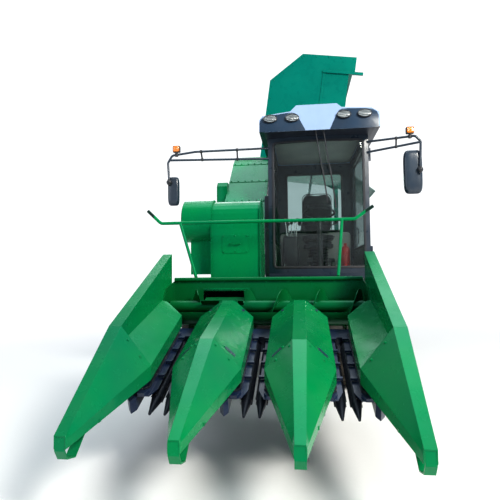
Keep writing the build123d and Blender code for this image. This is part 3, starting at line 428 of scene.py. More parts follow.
def painted(name, colours, gloss, wear=0.5, dust=0.35, dust_high=1.4, coat=0.35, waves=0.35, grips=None,
            tint=None):
    """Sprayed steel: slow tone between two colours, bare chips on edges, dust towards the ground.

    Grips, a middle and a reach along X in metres, give dark rubber ends beyond that reach."""
    material, tree, shader = start(name)
    colour = blend_colour(tree, use(tree, tone_tree, Scale=1.3), *colours)
    chips = use(tree, wear_tree, Width=0.005, Amount=wear, Scale=38.0)
    colour = blend_colour(tree, chips, colour, BARE_STEEL)
    if grips:
        across = add(tree, "SeparateXYZ", place_of(tree))["X"]
        from_middle = math(tree, "ABSOLUTE", math(tree, "SUBTRACT", across, grips[0]))
        colour = blend_colour(tree, math(tree, "GREATER_THAN", from_middle, grips[1]), colour, GRIP_RUBBER)
    dusty = use(tree, dust_tree, Low=0.15, High=dust_high, Amount=dust)
    fill(tree, shader.inputs["Base Color"], blend_colour(tree, dusty, colour, DUST))
    rough = spread(tree, noise(tree, 9.0, 4.0), 0.3, 0.75, gloss * 0.75, gloss * 1.35)
    fill(tree, shader.inputs["Roughness"], math(tree, "ADD", rough, math(tree, "MULTIPLY", dusty, 0.45)))
    shader.inputs["Coat Weight"].default_value = coat
    shader.inputs["Coat Roughness"].default_value = 0.06
    if tint:
        shader.inputs["Specular Tint"].default_value = (*tint, 1)
    bump(tree, shader, use(tree, ripple_tree, Peel=240.0, Waves=4.0), waves, 0.004, 0.003)
    return material


FRESH = dict(wear=0.15, dust=0.05, coat=0.05, waves=0.25, tint=(0.02, 0.75, 0.45))
GREENS = (0.0005, 0.150, 0.064), (0.0005, 0.215, 0.060)
# Trough greens: the machine's green darkened as painted shade, for the trough, auger and rail that lie under
# the hoods and the cab
TROUGH_SHADE_GREENS = (0.0005, 0.080, 0.030), (0.0005, 0.112, 0.026)
TEALS = (0.0005, 0.125, 0.100), (0.0005, 0.160, 0.122)
NAVIES = (0.004, 0.013, 0.040), (0.008, 0.024, 0.070)
ARM_BLUES = (0.012, 0.022, 0.038), (0.020, 0.034, 0.056)
FRAME_GREYS = (0.014, 0.016, 0.020), (0.028, 0.031, 0.036)
ENGINE_GREYS = (0.03, 0.05, 0.045), (0.05, 0.075, 0.065)
RIM_GREYS = (0.34, 0.35, 0.36), (0.46, 0.47, 0.48)
CAB_BLUES = (0.006, 0.015, 0.029), (0.011, 0.025, 0.044)
bar_grips = (at(-122.5, 0, 0)[0], 1.0845)
green_paint = painted("green_paint", GREENS, 0.24, **FRESH)
trough_shade_paint = painted("trough_shade_paint", TROUGH_SHADE_GREENS, 0.30, **FRESH)
bin_paint = painted("bin_paint", TEALS, 0.30, **FRESH)
bar_paint = painted("bar_paint", GREENS, 0.24, grips=bar_grips, **FRESH)
navy_paint = painted("navy_paint", NAVIES, 0.36, wear=0.5, dust=0.08, coat=0.15)
arm_paint = painted("arm_paint", ARM_BLUES, 0.34, wear=0.3, dust=0.05, coat=0.2)
frame_paint = painted("frame_paint", FRAME_GREYS, 0.42, wear=0.6, dust=0.6, coat=0.1)
engine_paint = painted("engine_paint", ENGINE_GREYS, 0.45, wear=0.4, dust=0.5, dust_high=2.2, coat=0.05)
rim_paint = painted("rim_paint", RIM_GREYS, 0.36, wear=0.5, dust=0.5, dust_high=1.0)
cab_paint = painted("cab_paint", CAB_BLUES, 0.33, wear=0.2, dust=0.04, coat=0.3)
print("painted finishes ready")

# %% Moulded plastic


def grained(name, dark, light, gloss, grain_scale, depth, below=None):
    """Moulded plastic: fine leather grain, slow tone, a touch of dust, and a second colour below."""
    material, tree, shader = start(name)
    colour = blend_colour(tree, use(tree, tone_tree, Scale=2.2), dark, light)
    if below:
        colour = blend_colour(tree, math(tree, "LESS_THAN", facing_up(tree), -0.5), colour, below)
    dusty = use(tree, dust_tree, Low=0.2, High=4.0, Amount=0.18)
    fill(tree, shader.inputs["Base Color"], blend_colour(tree, dusty, colour, DUST))
    cells = add(tree, "TexVoronoi", Vector=place_of(tree), Scale=grain_scale)[0]
    fill(tree, shader.inputs["Roughness"], spread(tree, cells, 0.0, 0.8, gloss * 0.85, gloss * 1.2))
    bump(tree, shader, cells, 0.25, depth, 0.004)
    return material


ROOF_BELOW = (0.012, 0.018, 0.034)
roof_plastic = grained("roof_plastic", (0.26, 0.37, 0.57), (0.32, 0.44, 0.65), 0.36, 420.0, 0.0006,
                       ROOF_BELOW)
black_plastic = grained("black_plastic", (0.010, 0.012, 0.017), (0.020, 0.024, 0.032), 0.40, 380.0, 0.0008)
panel_plastic = grained("panel_plastic", (0.30, 0.31, 0.30), (0.40, 0.41, 0.40), 0.55, 320.0, 0.001)
lamp_panel = grained("lamp_panel", (0.011, 0.028, 0.056), (0.017, 0.042, 0.080), 0.22, 500.0, 0.0003)
# The mirror shells are black plastic; the blue in their colour is a painted reflection of the sky
sky_tinted_shell = grained("sky_tinted_shell", (0.016, 0.028, 0.046), (0.026, 0.044, 0.070), 0.20, 700.0, 0.0002)
red_plastic = grained("red_plastic", (0.42, 0.012, 0.010), (0.55, 0.02, 0.016), 0.3, 300.0, 0.0005)
print("plastics ready")

# %% Rubber, glass, bare metal and floor


def clouded(name, scale, detail, colours, limits, gloss, metal=0.0):
    """Finish whose colour and roughness follow one noise, with its tree and shader."""
    material, tree, shader = start(name)
    cloud = noise(tree, scale, detail)
    fill(tree, shader.inputs["Base Color"], blend_colour(tree, cloud, *colours))
    fill(tree, shader.inputs["Roughness"], spread(tree, cloud, *limits, *gloss))
    shader.inputs["Metallic"].default_value = metal
    return material, tree, shader


MIRROR_GREYS = (0.62, 0.66, 0.68), (0.72, 0.76, 0.78)
CHROME_GREYS = (0.60, 0.61, 0.63), (0.80, 0.81, 0.82)
chrome = clouded("rod_chrome", 160.0, 3.0, CHROME_GREYS, (0.3, 0.7), (0.08, 0.22), 1.0)[0]
mirror_face = clouded("mirror_face", 12.0, 4.0, MIRROR_GREYS, (0.45, 0.8), (0.01, 0.08), 1.0)[0]
GLASS_TINTS = (0.66, 0.77, 0.74), (0.78, 0.87, 0.84)
glass, tree, shader = clouded("window_glass", 3.5, 5.0, GLASS_TINTS, (0.45, 0.85), (0.0, 0.09))
shader.inputs["Transmission Weight"].default_value = 1.0
shader.inputs["IOR"].default_value = 1.38

FADE = (3.4, 8.0)
FLOOR_GREYS = (0.88, 0.88, 0.88), (0.92, 0.92, 0.92)
ground, tree, shader = clouded("pale_floor", 40.0, 6.0, FLOOR_GREYS, (0.3, 0.7), (0.7, 0.9))
from_middle = add(tree, "VectorMath", place_of(tree), operation="LENGTH")["Value"]
paper_glow = add(tree, "Emission", Color=PAPER)[0]
faded = add(tree, "MixShader", spread(tree, from_middle, *FADE), shader.outputs[0], paper_glow)[0]
tree.links.new(faded, tree.nodes["Material Output"].inputs["Surface"])
floor_mesh.materials.append(ground)

MUD = (0.17, 0.13, 0.085)
rubber, tree, shader = start("tyre_rubber")
worn = blend_colour(tree, use(tree, tone_tree, Scale=7.0), (0.012, 0.012, 0.012), (0.030, 0.029, 0.027))
muddy = use(tree, dust_tree, Low=0.0, High=1.5, Amount=0.85)
fill(tree, shader.inputs["Base Color"], blend_colour(tree, muddy, worn, MUD))
pores = noise(tree, 150.0, 4.0)
fill(tree, shader.inputs["Roughness"], spread(tree, pores, 0.3, 0.7, 0.68, 0.92))
bump(tree, shader, pores, 0.35, 0.002)

iron, tree, shader = start("roll_iron")
cast = noise(tree, 70.0, 5.0)
rubbed = use(tree, wear_tree, Width=0.006, Amount=1.0, Scale=18.0)
skin = blend_colour(tree, cast, (0.010, 0.014, 0.024), (0.026, 0.032, 0.046))
fill(tree, shader.inputs["Base Color"], blend_colour(tree, rubbed, skin, (0.26, 0.26, 0.26)))
fill(tree, shader.inputs["Metallic"], spread(tree, rubbed, 0.0, 0.6, 0.35, 1.0))
fill(tree, shader.inputs["Roughness"], spread(tree, cast, 0.3, 0.7, 0.38, 0.62))
bump(tree, shader, cast, 0.4, 0.002)

zinc, tree, shader = start("zinc_bolts")
cells = add(tree, "TexVoronoi", Vector=place_of(tree), Scale=220.0)["Color"]
spangle = add(tree, "SeparateColor", cells)[0]
fill(tree, shader.inputs["Base Color"], blend_colour(tree, spangle, (0.36, 0.36, 0.35), (0.55, 0.55, 0.54)))
fill(tree, shader.inputs["Roughness"], spread(tree, spangle, 0.0, 1.0, 0.28, 0.5))
shader.inputs["Metallic"].default_value = 0.9
print("rubber, glass, metals and floor ready")

# %% Lamp lenses and seat cloth


def lens(name, dark, light, ribs):
    """Ribbed lamp lens: fine upright prisms over a bright reflector colour."""
    material, tree, shader = start(name)
    band = add(tree, "TexWave", Vector=place_of(tree), Scale=ribs, bands_direction="X")[1]
    fill(tree, shader.inputs["Base Color"], blend_colour(tree, band, dark, light))
    fill(tree, shader.inputs["Roughness"], spread(tree, band, 0.0, 1.0, 0.06, 0.16))
    shader.inputs["Coat Weight"].default_value = 1.0
    bump(tree, shader, band, 0.5, 0.002)
    return material


lamp_lens = lens("lamp_lens", (0.20, 0.24, 0.26), (0.46, 0.51, 0.53), 36.0)
amber_lens = lens("amber_lens", (0.60, 0.13, 0.004), (0.90, 0.28, 0.012), 60.0)
red_lens = lens("red_lens", (0.45, 0.008, 0.006), (0.75, 0.022, 0.016), 60.0)

THREADS = 95.0
seat_cloth, tree, shader = start("seat_cloth")
warp = add(tree, "TexWave", Vector=place_of(tree), Scale=THREADS, bands_direction="X")[1]
weft = add(tree, "TexWave", Vector=place_of(tree), Scale=THREADS, bands_direction="DIAGONAL")[1]
weave = math(tree, "MAXIMUM", warp, weft)
thread = blend_colour(tree, weave, (0.012, 0.012, 0.014), (0.045, 0.046, 0.052))
thread = blend_colour(tree, use(tree, tone_tree, Scale=9.0), thread, (0.03, 0.03, 0.034))
fill(tree, shader.inputs["Base Color"], thread)
fill(tree, shader.inputs["Roughness"], spread(tree, weave, 0.0, 1.0, 0.95, 0.78))
shader.inputs["Sheen Weight"].default_value = 0.25
bump(tree, shader, weave, 0.4, 0.0015)
print(len(bpy.data.materials), "materials")

# %% [markdown]
# ## A finish for every solid
# Each solid keeps its shape and gets one of these finishes. The table lists the solids by
# finish, and whatever isn't listed is green, as it is on the machine.

# %% Finishes of the solids
FINISHES = (
    (navy_paint, "row_units"),
    (arm_paint, "mirror_arms"),
    # The trough's darker green is painted shade on the same paint as the rest
    (trough_shade_paint, "header_frame header_auger"),
    (bar_paint, "stalk_bar"),
    (frame_paint, "chassis_frame front_axle rear_axle knuckle_left knuckle_right tie_rod chopper_rotor "
                  "cab_steps lift_barrels bin_barrels fuel_tank cooling_unit"),
    (engine_paint, "engine_block"),
    (bin_paint, "ear_bin bin_frame"),
    (cab_paint, "cab_front_frame cab_side_wall cab_rear_wall cab_door cab_floor"),
    (rim_paint, "front_rim_left front_rim_right rear_rim_left rear_rim_right"),
    (rubber, "front_tyre_left front_tyre_right rear_tyre_left rear_tyre_right"),
    (glass, "cab_glass door_glass"),
    (roof_plastic, "cab_roof"),
    (black_plastic, "mirrors driver_controls"),
    (lamp_panel, "lamps"),
    (chrome, "lift_rods bin_rods"),
    (seat_cloth, "driver_seat"),
)
finish_of = {node: finish for finish, names in FINISHES for node in names.split()}
for node, solid in nodes.items():
    finish = iron if node.startswith("roll_") else finish_of.get(node, green_paint)
    solid.data.materials.clear()
    solid.data.materials.append(finish)
print(len(nodes), "solids finished")

# %% [markdown]
# ## Wipers
# Two long arms hang from the middle of the roof's front edge down to the windscreen, each
# with a blade lying on the bowed glass. The glass is part of a cylinder, so a blade's path
# is worked out from its height and the circle's formula, and a profile is carried along it.

# %% Wiper arms and blades
CAB_X = (-55.0, 1125.0)
CAB_MIDDLE = sum(CAB_X) / 2
GLASS_Y, GLASS_BOW = 68.0, 60.0
half_cab = (CAB_X[1] - CAB_X[0]) / 2
bow_radius = (half_cab ** 2 + GLASS_BOW ** 2) / (2 * GLASS_BOW)


def glass_front(x):
    """Y of the windscreen's outer face: the chord less the height of the circle over it."""
    return GLASS_Y - (np.sqrt(bow_radius ** 2 - (x - CAB_MIDDLE) ** 2) - (bow_radius - GLASS_BOW))


ARMS = (
    # top x, blade top x and height, blade foot x and height
    (505, 585, 2500, 640, 2080),
    (595, 675, 2500, 735, 2010),
)
STRIP = np.array([(-0.003, -0.009), (0.003, -0.009), (0.008, 0.004), (0.008, 0.008), (-0.008, 0.008),
                  (-0.008, 0.004)])
SPINDLE = turned([(0, -0.012), (0.02, -0.012), (0.02, 0.008), (0.012, 0.014), (0, 0.014)], 20)
wipers = []
for top_x, blade_x, blade_z, foot_x, foot_z in ARMS:
    blade = np.linspace((blade_x, 0, blade_z), (foot_x, 0, foot_z), 24)
    blade[:, 1] = glass_front(blade[:, 0]) - 10
    wipers.append(carried(STRIP, at(blade), FRONT))
    middle = blade[12] - (0, 14, 0)
    knee = np.array([top_x, -150, 2862])
    arm = np.array([(top_x, -165, 2884), knee + (6, 0, 0), (middle + knee) / 2, middle])
    wipers.append(carried(circle(0.007, 10), bent(at(arm), 0.02), LEFT))
    wipers.append(repeated(SPINDLE, at(top_x, -168, 2880), (0, -1, 0.2)))
piece("wipers", wipers, "machine", black_plastic)

# %% [markdown]
# ## Lamps on the roof
# Four oval work lamps sit on two dark panels in the sloping front of the roof. The panels,
# a housing for each lamp, a domed lens and a guard of thin bars are all placed on the plane
# of that slope, whose height gives the depth.

# %% Panels
ROOF_FRONT_Y, ROOF_FOOT_Z, ROOF_LEAN = -200.0, 2870.3, 0.2
lamp_out, lamp_up = unit((0, -1, ROOF_LEAN)), unit((0, ROOF_LEAN, 1))
ROOF_PANELS = (
    # (x, z) corners, seen from in front, the two lower ones first
    ((-128, 2872), (396, 2872), (292, 3086), (232, 3104), (-84, 3066), (-128, 3018)),
    ((669, 2872), (1208, 2872), (1210, 3052), (1134, 3106), (812, 3122), (764, 3090)),
)


def on_roof(x, z):
    """Frame places on the leaning front of the roof from drawing x and z."""
    return at(np.stack([x, ROOF_FRONT_Y + ROOF_LEAN * (z - ROOF_FOOT_Z), z], -1))


panels = []
for corners in ROOF_PANELS:
    loop = np.array(corners, float)
    before, after = np.roll(loop, 1, 0), np.roll(loop, -1, 0)
    cut = np.stack([0.8 * loop + 0.2 * before, 0.8 * loop + 0.2 * after], 1).reshape(-1, 2)
    line = np.concatenate([loop[:2], cut[4:]])
    inner = line + 0.03 * (line.mean(0) - line)
    flat, lifted = on_roof(*line.T), on_roof(*inner.T)
    foot, top = [rim.mean(0)[None].repeat(len(line), 0) for rim in (flat, lifted)]
    heights = np.array([0, 0, 0.003, 0.005, 0.005])[:, None, None] * lamp_out
    panels.append(grid(np.stack([foot, flat, flat, lifted, top]) + heights))
piece("roof_panels", panels, "machine", lamp_panel)

# %% Lenses and guards
LAMPS = ((-7, 3024), (245, 3023), (827, 3036), (1058, 3037))
LAMP_THICK = 0.0223
HOUSING = np.array([(0.002, 0), (0.002, 1), (0.018, 1), (0.0225, 0.97), (0.0225, 0)])
LENS_RISE, GUARD_REACH, GUARD_HEIGHT = 0.010, 0.076, 0.046


def on_lamp(width, height):
    """Ellipse of 48 points on the plane of the lamps."""
    flat = rounded(width, height, 2, 48)
    return flat[:, :1] * LEFT + flat[:, 1:] * lamp_up


lenses, guards = [], []
for lamp_x, lamp_z in LAMPS:
    foot = on_roof(float(lamp_x), float(lamp_z))
    face = foot + lamp_out * LAMP_THICK
    levels = HOUSING[:, 1:, None] * on_lamp(0.158, 0.098) + HOUSING[:, :1, None] * lamp_out
    guards.append(grid(foot + levels))
    turn = np.linspace(0, pi / 2, 7)[:, None, None]
    dome = face + np.cos(turn) * on_lamp(0.146, 0.086) + LENS_RISE * np.sin(turn) * lamp_out
    lenses.append(grid(np.concatenate([np.repeat(face[None, None], 48, 1), dome])))
    guards.append(carried(circle(0.0045, 8), face + on_lamp(0.152, 0.092) + 0.003 * lamp_out, lamp_out, True))
    share = np.linspace(-1, 1, 9)[:, None]
    for tilt in (-0.6, -0.2, 0.2, 0.6):
        bar = face + GUARD_REACH * np.sqrt(1 - tilt ** 2) * share * LEFT + GUARD_HEIGHT * tilt * lamp_up
        guards.append(carried(circle(0.0030, 6), bar + (0.013 - 0.010 * share ** 2) * lamp_out, lamp_out))
piece("lamp_lenses", lenses, "machine", lamp_lens)
piece("lamp_guards", guards, "machine", black_plastic)

# %% [markdown]
# ## Bolts
# Folded sheets are held together by rows of six-sided bolts on washers. Their places could be
# read off the drawing, but the sheets slope in every direction. So rays are sent at each sheet,
# and the point and slope that they meet set each bolt upright on its own sheet.

# %% Bolt heads and rows of places


def bolt(radius, height):
    """Six-sided head with eased top edges on a round washer, standing on the plane Z = 0."""
    wide, low, seat = radius * 1.5, height * 0.22, height * 0.2
    washer = turned([(0, -0.002), (wide, -0.002), (wide, low), (0, low)], 12)
    head = [(0, seat), (radius, seat), (radius, height * 0.85), (radius * 0.84, height), (0, height)]
    return together([washer, turned(head, 6)])


def both(points):
    """Drawing places and their mirror images across the machine's middle plane."""
    points = np.asarray(points, float)
    return np.concatenate([points, points * (-1, 1, 1)])


def row(first, last, count):
    """Evenly spaced drawing places from one to another."""
    return np.linspace(first, last, count)


BIN_HINGE = (990.0, 2850.0)
BIN_TIP = 98 * pi / 180


def tipped(points):
    """Places of the level bin, turned about its hinge to where it stands tipped."""
    points = np.asarray(points, float)
    x, z = points[:, 0] - BIN_HINGE[0], points[:, 2] - BIN_HINGE[1]
    turned_x = BIN_HINGE[0] + x * np.cos(BIN_TIP) + z * np.sin(BIN_TIP)
    turned_z = BIN_HINGE[1] - x * np.sin(BIN_TIP) + z * np.cos(BIN_TIP)
    return np.stack([turned_x, points[:, 1], turned_z], -1)


# %% Bolts on the sheets
OUTSIDE = 1300.0
FAN_MIDDLE = (-235, 1855)
fan_turn = np.linspace(0, 2 * pi, 8, endpoint=False)
fan_ring = np.stack([np.full(8, -OUTSIDE), FAN_MIDDLE[0] + 188 * np.cos(fan_turn),
                     FAN_MIDDLE[1] + 188 * np.sin(fan_turn)], -1)
wall_y = np.linspace(-2190, -1200, 5)
low_z = np.interp(wall_y, (-2190, -1500, -1200), (690, 690, 740))
wall_low = np.stack([np.full(5, OUTSIDE), wall_y, low_z], -1)
wall_top = np.stack([np.full(5, OUTSIDE), wall_y, 922 + (wall_y + 2270) * 0.459 - 45], -1)
wall = np.concatenate([wall_low, wall_top])
trunk_y = np.linspace(60, 1180, 6)
trunk_edge = np.stack([np.full(6, -OUTSIDE), trunk_y, 790 + (trunk_y + 360) * 0.9004 + 645], -1)
BIN_ROWS = (
    # first and last place on the level bin, count of bolts
    ((-730, 0, 2800), (-730, 0, 2040), 5),
    ((-700, 0, 2010), (-300, 0, 1610), 4),
    ((-200, 0, 1585), (930, 0, 1585), 7),
    ((945, 0, 1640), (945, 0, 2560), 5),
)
bin_edge = tipped(np.concatenate([row(*values) for values in BIN_ROWS]))
nose_seam = both([(x, -2300, OUTSIDE) for x in (150, 235, 365, 450, 735, 820)])
hood_seam = both([(190, -2232, OUTSIDE), (410, -2232, OUTSIDE), (165, -1535, OUTSIDE), (435, -1535, OUTSIDE)])
cooler_rows = np.concatenate([row((OUTSIDE, 1670, z), (OUTSIDE, 2250, z), 3) for z in (824, 1376)])
chopper_end = np.array([(OUTSIDE, y, z) for y, z in ((960, 330), (1340, 330), (1060, 520), (1240, 520))])
BOLT_SETS = (
    # body, solid, way of the rays, head radius in millimetres, drawing places where the rays start
    ("header", "divider_snouts", DOWN, 8, nose_seam),
    ("header", "divider_hoods", DOWN, 8, hood_seam),
    ("header", "divider_hoods", RIGHT, 9, wall),
    ("header", "divider_hoods", LEFT, 9, wall * (-1, 1, 1)),
    ("header", "header_frame", REAR, 10, row((-820, -1600, 1188), (820, -1600, 1188), 9)),
    ("machine", "elevator", LEFT, 8, trunk_edge),
    ("machine", "cleaning_fan", LEFT, 8, fan_ring),
    ("machine", "cooling_unit", RIGHT, 8, cooler_rows),
    ("machine", "chopper_housing", RIGHT, 9, chopper_end),
    ("machine", "chopper_housing", LEFT, 9, chopper_end * (-1, 1, 1)),
    ("bin", "ear_bin", REAR, 8, bin_edge + (0, 1400, 0)),
    ("bin", "ear_bin", FRONT, 8, bin_edge + (0, 3400, 0)),
)
for body in ("header", "machine", "bin"):
    heads = []
    for owner, solid, way, radius, places in BOLT_SETS:
        if owner == body:
            spots, normals = landed(solid, at(places), way)
            heads.append(repeated(bolt(radius / 1000, radius / 1100), spots, normals, (0.9, 0.3, 0.2)))
    piece("bolts_" + body, heads, body, bin_paint if body == "bin" else green_paint)

# %% Slot plates and holes of the hoods, drawn as dark patches of painted shade
# Nothing is cut: flat navy plates stand for the slotted plates, with the shade in their slots painted as
# their dark colour, and the holes are dark patches of painted shade
slot_shade_plate = plate(rounded(0.092, 0.034, 8, 32), 0.002, (0, 0, 0), LEFT, REAR)
hole_shade_mark = plate(rounded(0.048, 0.026, 3, 24), 0.001, (0, 0, 0), LEFT, REAR, 0.0005)
slots, slopes = landed("divider_hoods", at(both([(154, -2218, OUTSIDE), (446, -2218, OUTSIDE)])), DOWN)
holes, leans = landed("divider_hoods", at(both([(162, -1490, OUTSIDE), (438, -1490, OUTSIDE)])), DOWN)
hood_shade_plates = [repeated(slot_shade_plate, slots, slopes), repeated(hole_shade_mark, holes, leans, REAR)]
piece("hood_slot_shades", hood_shade_plates, "header", navy_paint)

# %% [markdown]
# ## Elevator cover
# The sloping cover of the elevator is made of sheets that overlap under bolted straps, and an
# inspection lid closes its front. A strap is a flat profile carried straight across the slope.

# %% Straps and lid
SLOPE = 42 * pi / 180
slope_out = np.array([0, -np.sin(SLOPE), np.cos(SLOPE)])
FLAT_BAR = np.array([(-0.024, 0), (-0.024, 0.004), (-0.022, 0.006), (0.022, 0.006), (0.024, 0.004),
                     (0.024, 0)])
LID = (-383, -450, 1579)
straps, strap_bolts = [], []
for y in (60, 430, 800, 1170):
    z = 790 + (y + 360) * np.tan(SLOPE) + 690
    straps.append(carried(FLAT_BAR, at(row((-649, y, z), (-111, y, z), 3)), slope_out))
    bolt_row = at(row((-620, y, z), (-140, y, z), 6)) + slope_out * 0.006
    strap_bolts.append(repeated(bolt(0.008, 0.008), bolt_row, slope_out))
straps.append(plate(rounded(0.290, 0.205, 14, 64), 0.006, at(LID), edge=0.002))
lid_bolts = np.array([(x, -6, z) for x in (-125, 0, 125) for z in (-84, 84)]) + LID
strap_bolts.append(repeated(bolt(0.007, 0.007), at(lid_bolts), FRONT))
lid_grip = np.array([(-57, -4, 0), (-57, -36, 0), (57, -36, 0), (57, -4, 0)]) + LID
strap_bolts.append(carried(circle(0.006, 10), bent(at(lid_grip), 0.014)))
piece("elevator_straps", straps, "machine", green_paint)
piece("elevator_bolts", strap_bolts, "machine", green_paint)

# %% [markdown]
# ## Tyres
# The front tyres have slanted traction bars and the steered rear ones road ribs. The solids are
# drawn with few sides for speed. Here the same section is rounded by corner cutting and turned
# round the axle in fine steps, and one traction bar is worked out as a surface and spun round.

# %% Wheel shapes


def smoothed(points, rounds):
    """Open line with its corners cut: each leg gives points at its quarter and three quarters."""
    for _ in range(rounds):
        near, far = points[:-1], points[1:]
        cut = np.stack([0.75 * near + 0.25 * far, 0.25 * near + 0.75 * far], 1).reshape(-1, 2)
        points = np.concatenate([points[:1], cut, points[-1:]])
    return points


def round_axle(profile, sides):
    """Closed profile of (across, radius) turned round the X axis."""
    angle = np.linspace(0, 2 * pi, sides, endpoint=False)[:, None]
    across, radius = profile.T
    points = np.stack([across + 0 * angle, radius * np.cos(angle), radius * np.sin(angle)], -1)
    return grid(points, (True, True))


def spun(shape, count, start=0.0):
    """Copies of a shape at even turns round the X axis."""
    points, quads = shape
    x, y, z = points.T
    angle = np.linspace(0, 2 * pi, count, endpoint=False)[:, None] + start
    c, s = np.cos(angle), np.sin(angle)
    copies = np.stack([x + 0 * angle, y * c - z * s, y * s + z * c], -1)
    return copies.reshape(-1, 3), (quads[None] + np.arange(count)[:, None, None] * len(points)).reshape(-1, 4)


def tyre_section(radius, half, rim, ribs):
    """Section of a tyre in metres: rounded walls with two raised rings, and a crown with grooves."""
    middle_rise = rim + (radius - rim) * 0.45
    wall = np.array([(0.69 * half, rim + 0.001), (0.72 * half, rim + 0.022), (0.88 * half, rim + 0.045),
                     (1.01 * half, middle_rise), (0.97 * half, radius * 0.94), (0.90 * half, radius * 0.985),
                     (0.74 * half, radius)])
    wall = smoothed(wall, 3)
    for ring in (rim + 0.040, rim + (radius - rim) * 0.62):
        wall[:, 0] += 0.0025 * np.exp(-((wall[:, 1] - ring) / 0.005) ** 2)
    wall[:, 0] = np.minimum(wall[:, 0], half)
    groove = np.array([(0.006, 0), (0.004, -0.009), (-0.004, -0.009), (-0.006, 0)]) + (0, radius)
    middles = np.linspace(0.52, -0.52, ribs)[:, None, None] * half
    crown = (groove + middles * (1, 0)).reshape(-1, 2)
    return np.concatenate([wall, crown, wall[::-1] * (-1, 1)])


def traction_bar(radius, foot, half, slant):
    """Bar from the middle of the crown to its shoulder: its place, turn, width and height follow s."""
    s = np.linspace(0, 1, 12)[:, None]
    across = -0.006 + s * (0.95 * half + 0.006)
    turn = (-0.69 * slant + 1.38 * slant * s ** 0.9) / radius
    wide = 0.021 + 0.010 * s
    top = radius - 0.030 * np.clip((s - 0.80) / 0.20, 0, 1) ** 2
    section = np.array([(-1.25, -0.15), (-1.0, 0.82), (-0.82, 1.0), (0.82, 1.0), (1.0, 0.82), (1.25, -0.15)])
    rise = foot + section[:, 1] * (top - foot)
    angle = turn + section[:, 0] * wide / radius
    bar = np.stack([across + 0 * rise, rise * np.cos(angle), rise * np.sin(angle)], -1)
    ends = bar.mean(1, keepdims=True).repeat(6, 1)
    return grid(np.concatenate([ends[:1], bar, ends[-1:]]))


def on_wheel(shape, place, side):
    """A shape drawn on the axle, carried to a wheel; the right wheel is the left one turned round Z."""
    points, quads = shape
    return points * (side, side, 1) + at(place), quads


def mirrored(shape):
    """The shape's mirror image across the wheel."""
    return shape[0] * (-1, 1, 1), shape[1][:, ::-1]


# %% Tyres, nuts and hub caps
BARS, BAR_HEIGHT, BAR_SLANT, RIBS = 18, 0.038, 0.075, 5
bar = traction_bar(0.5595, 0.560 - BAR_HEIGHT, 0.150, BAR_SLANT)
front_tyre = [round_axle(tyre_section(0.560 - BAR_HEIGHT, 0.150, 0.305, 0), 108),
              spun(bar, BARS), spun(mirrored(bar), BARS, pi / BARS)]
rear_tyre = [round_axle(tyre_section(0.399, 0.110, 0.205, RIBS), 120)]
CAP = np.array([(0, 0), (1, 0), (1, 0.012), (0.8, 0.022), (0.4, 0.028), (0, 0.029)])
nut = repeated(bolt(0.015, 0.020), (0, 0, 0), LEFT, UP)
WHEELS = (
    # kind, place, tyre, count of nuts, radius and depth of their ring, radius and depth of the cap
    ("front", (830, 0, 560), front_tyre, 8, 0.150, -0.015, 0.058, 0.019),
    ("rear", (780, 2650, 400), rear_tyre, 6, 0.132, -0.010, 0.046, 0.024),
)
for kind, place, tyre, nuts, nut_ring, nut_face, cap_radius, cap_face in WHEELS:
    stud = (nut[0] + (nut_face, nut_ring, 0), nut[1])
    cap = repeated(turned(CAP * (cap_radius, 1), 32), (cap_face, 0, 0), LEFT, UP)
    for hand, side in (("left", 1), ("right", -1)):
        body, spot = kind + "_wheel_" + hand, (place[0] * side, *place[1:])
        tread = [on_wheel(shape, spot, side) for shape in tyre]
        made = piece(kind + "_tread_" + hand, tread, body, rubber, 40)
        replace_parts(made, kind + "_tyre_" + hand)
        fittings = [on_wheel(spun(stud, nuts), spot, side), on_wheel(cap, spot, side)]
        piece(kind + "_nuts_" + hand, fittings, body, zinc)

# %% [markdown]
# ## Gathering chains
# Each row has two chains that pull the stalks in. The solids show their housings, cleats and
# sprockets. Here every link gets its two plates and its roller, placed along a stadium-shaped
# path: two straight runs and two half circles, with the place along it as the parameter.

# %% Chain links
ROW_SLOPE, ROW_FOOT = 20 * pi / 180, (-1440, 800)
row_rear = np.array([0, np.cos(ROW_SLOPE), np.sin(ROW_SLOPE)])
row_up = np.array([0, -np.sin(ROW_SLOPE), np.cos(ROW_SLOPE)])


def on_row(x, points):
    """Drawing places from (across, along, up) on the sloping deck of the row at x."""
    points = np.asarray(points, float)
    return (x, *ROW_FOOT) + points[..., :1] * LEFT + points[..., 1:2] * row_rear + points[..., 2:] * row_up


def stadium(count, middle, near, far, radius):
    """Even places and directions round two straight runs that half circles join."""
    straight, curve = abs(near - far), pi * radius
    way = np.linspace(0, 2 * (straight + curve), count, endpoint=False)
    stops = np.cumsum([0, straight, curve, straight, curve])
    turn = np.interp(way, stops, [0, 0, pi, pi, 2 * pi])
    runs = [way < stop for stop in stops[1:4]]
    front, rear = (way - stops[1]) / radius, (way - stops[3]) / radius
    still = radius + 0 * way
    x = np.select(runs, [middle - still, middle - radius * np.cos(front), middle + still],
                  middle + radius * np.cos(rear))
    y = np.select(runs, [near - way, far - radius * np.sin(front), far + way - stops[2]],
                  near + radius * np.sin(rear))
    return np.stack([x, y], -1), np.stack([np.sin(turn), -np.cos(turn)], -1)


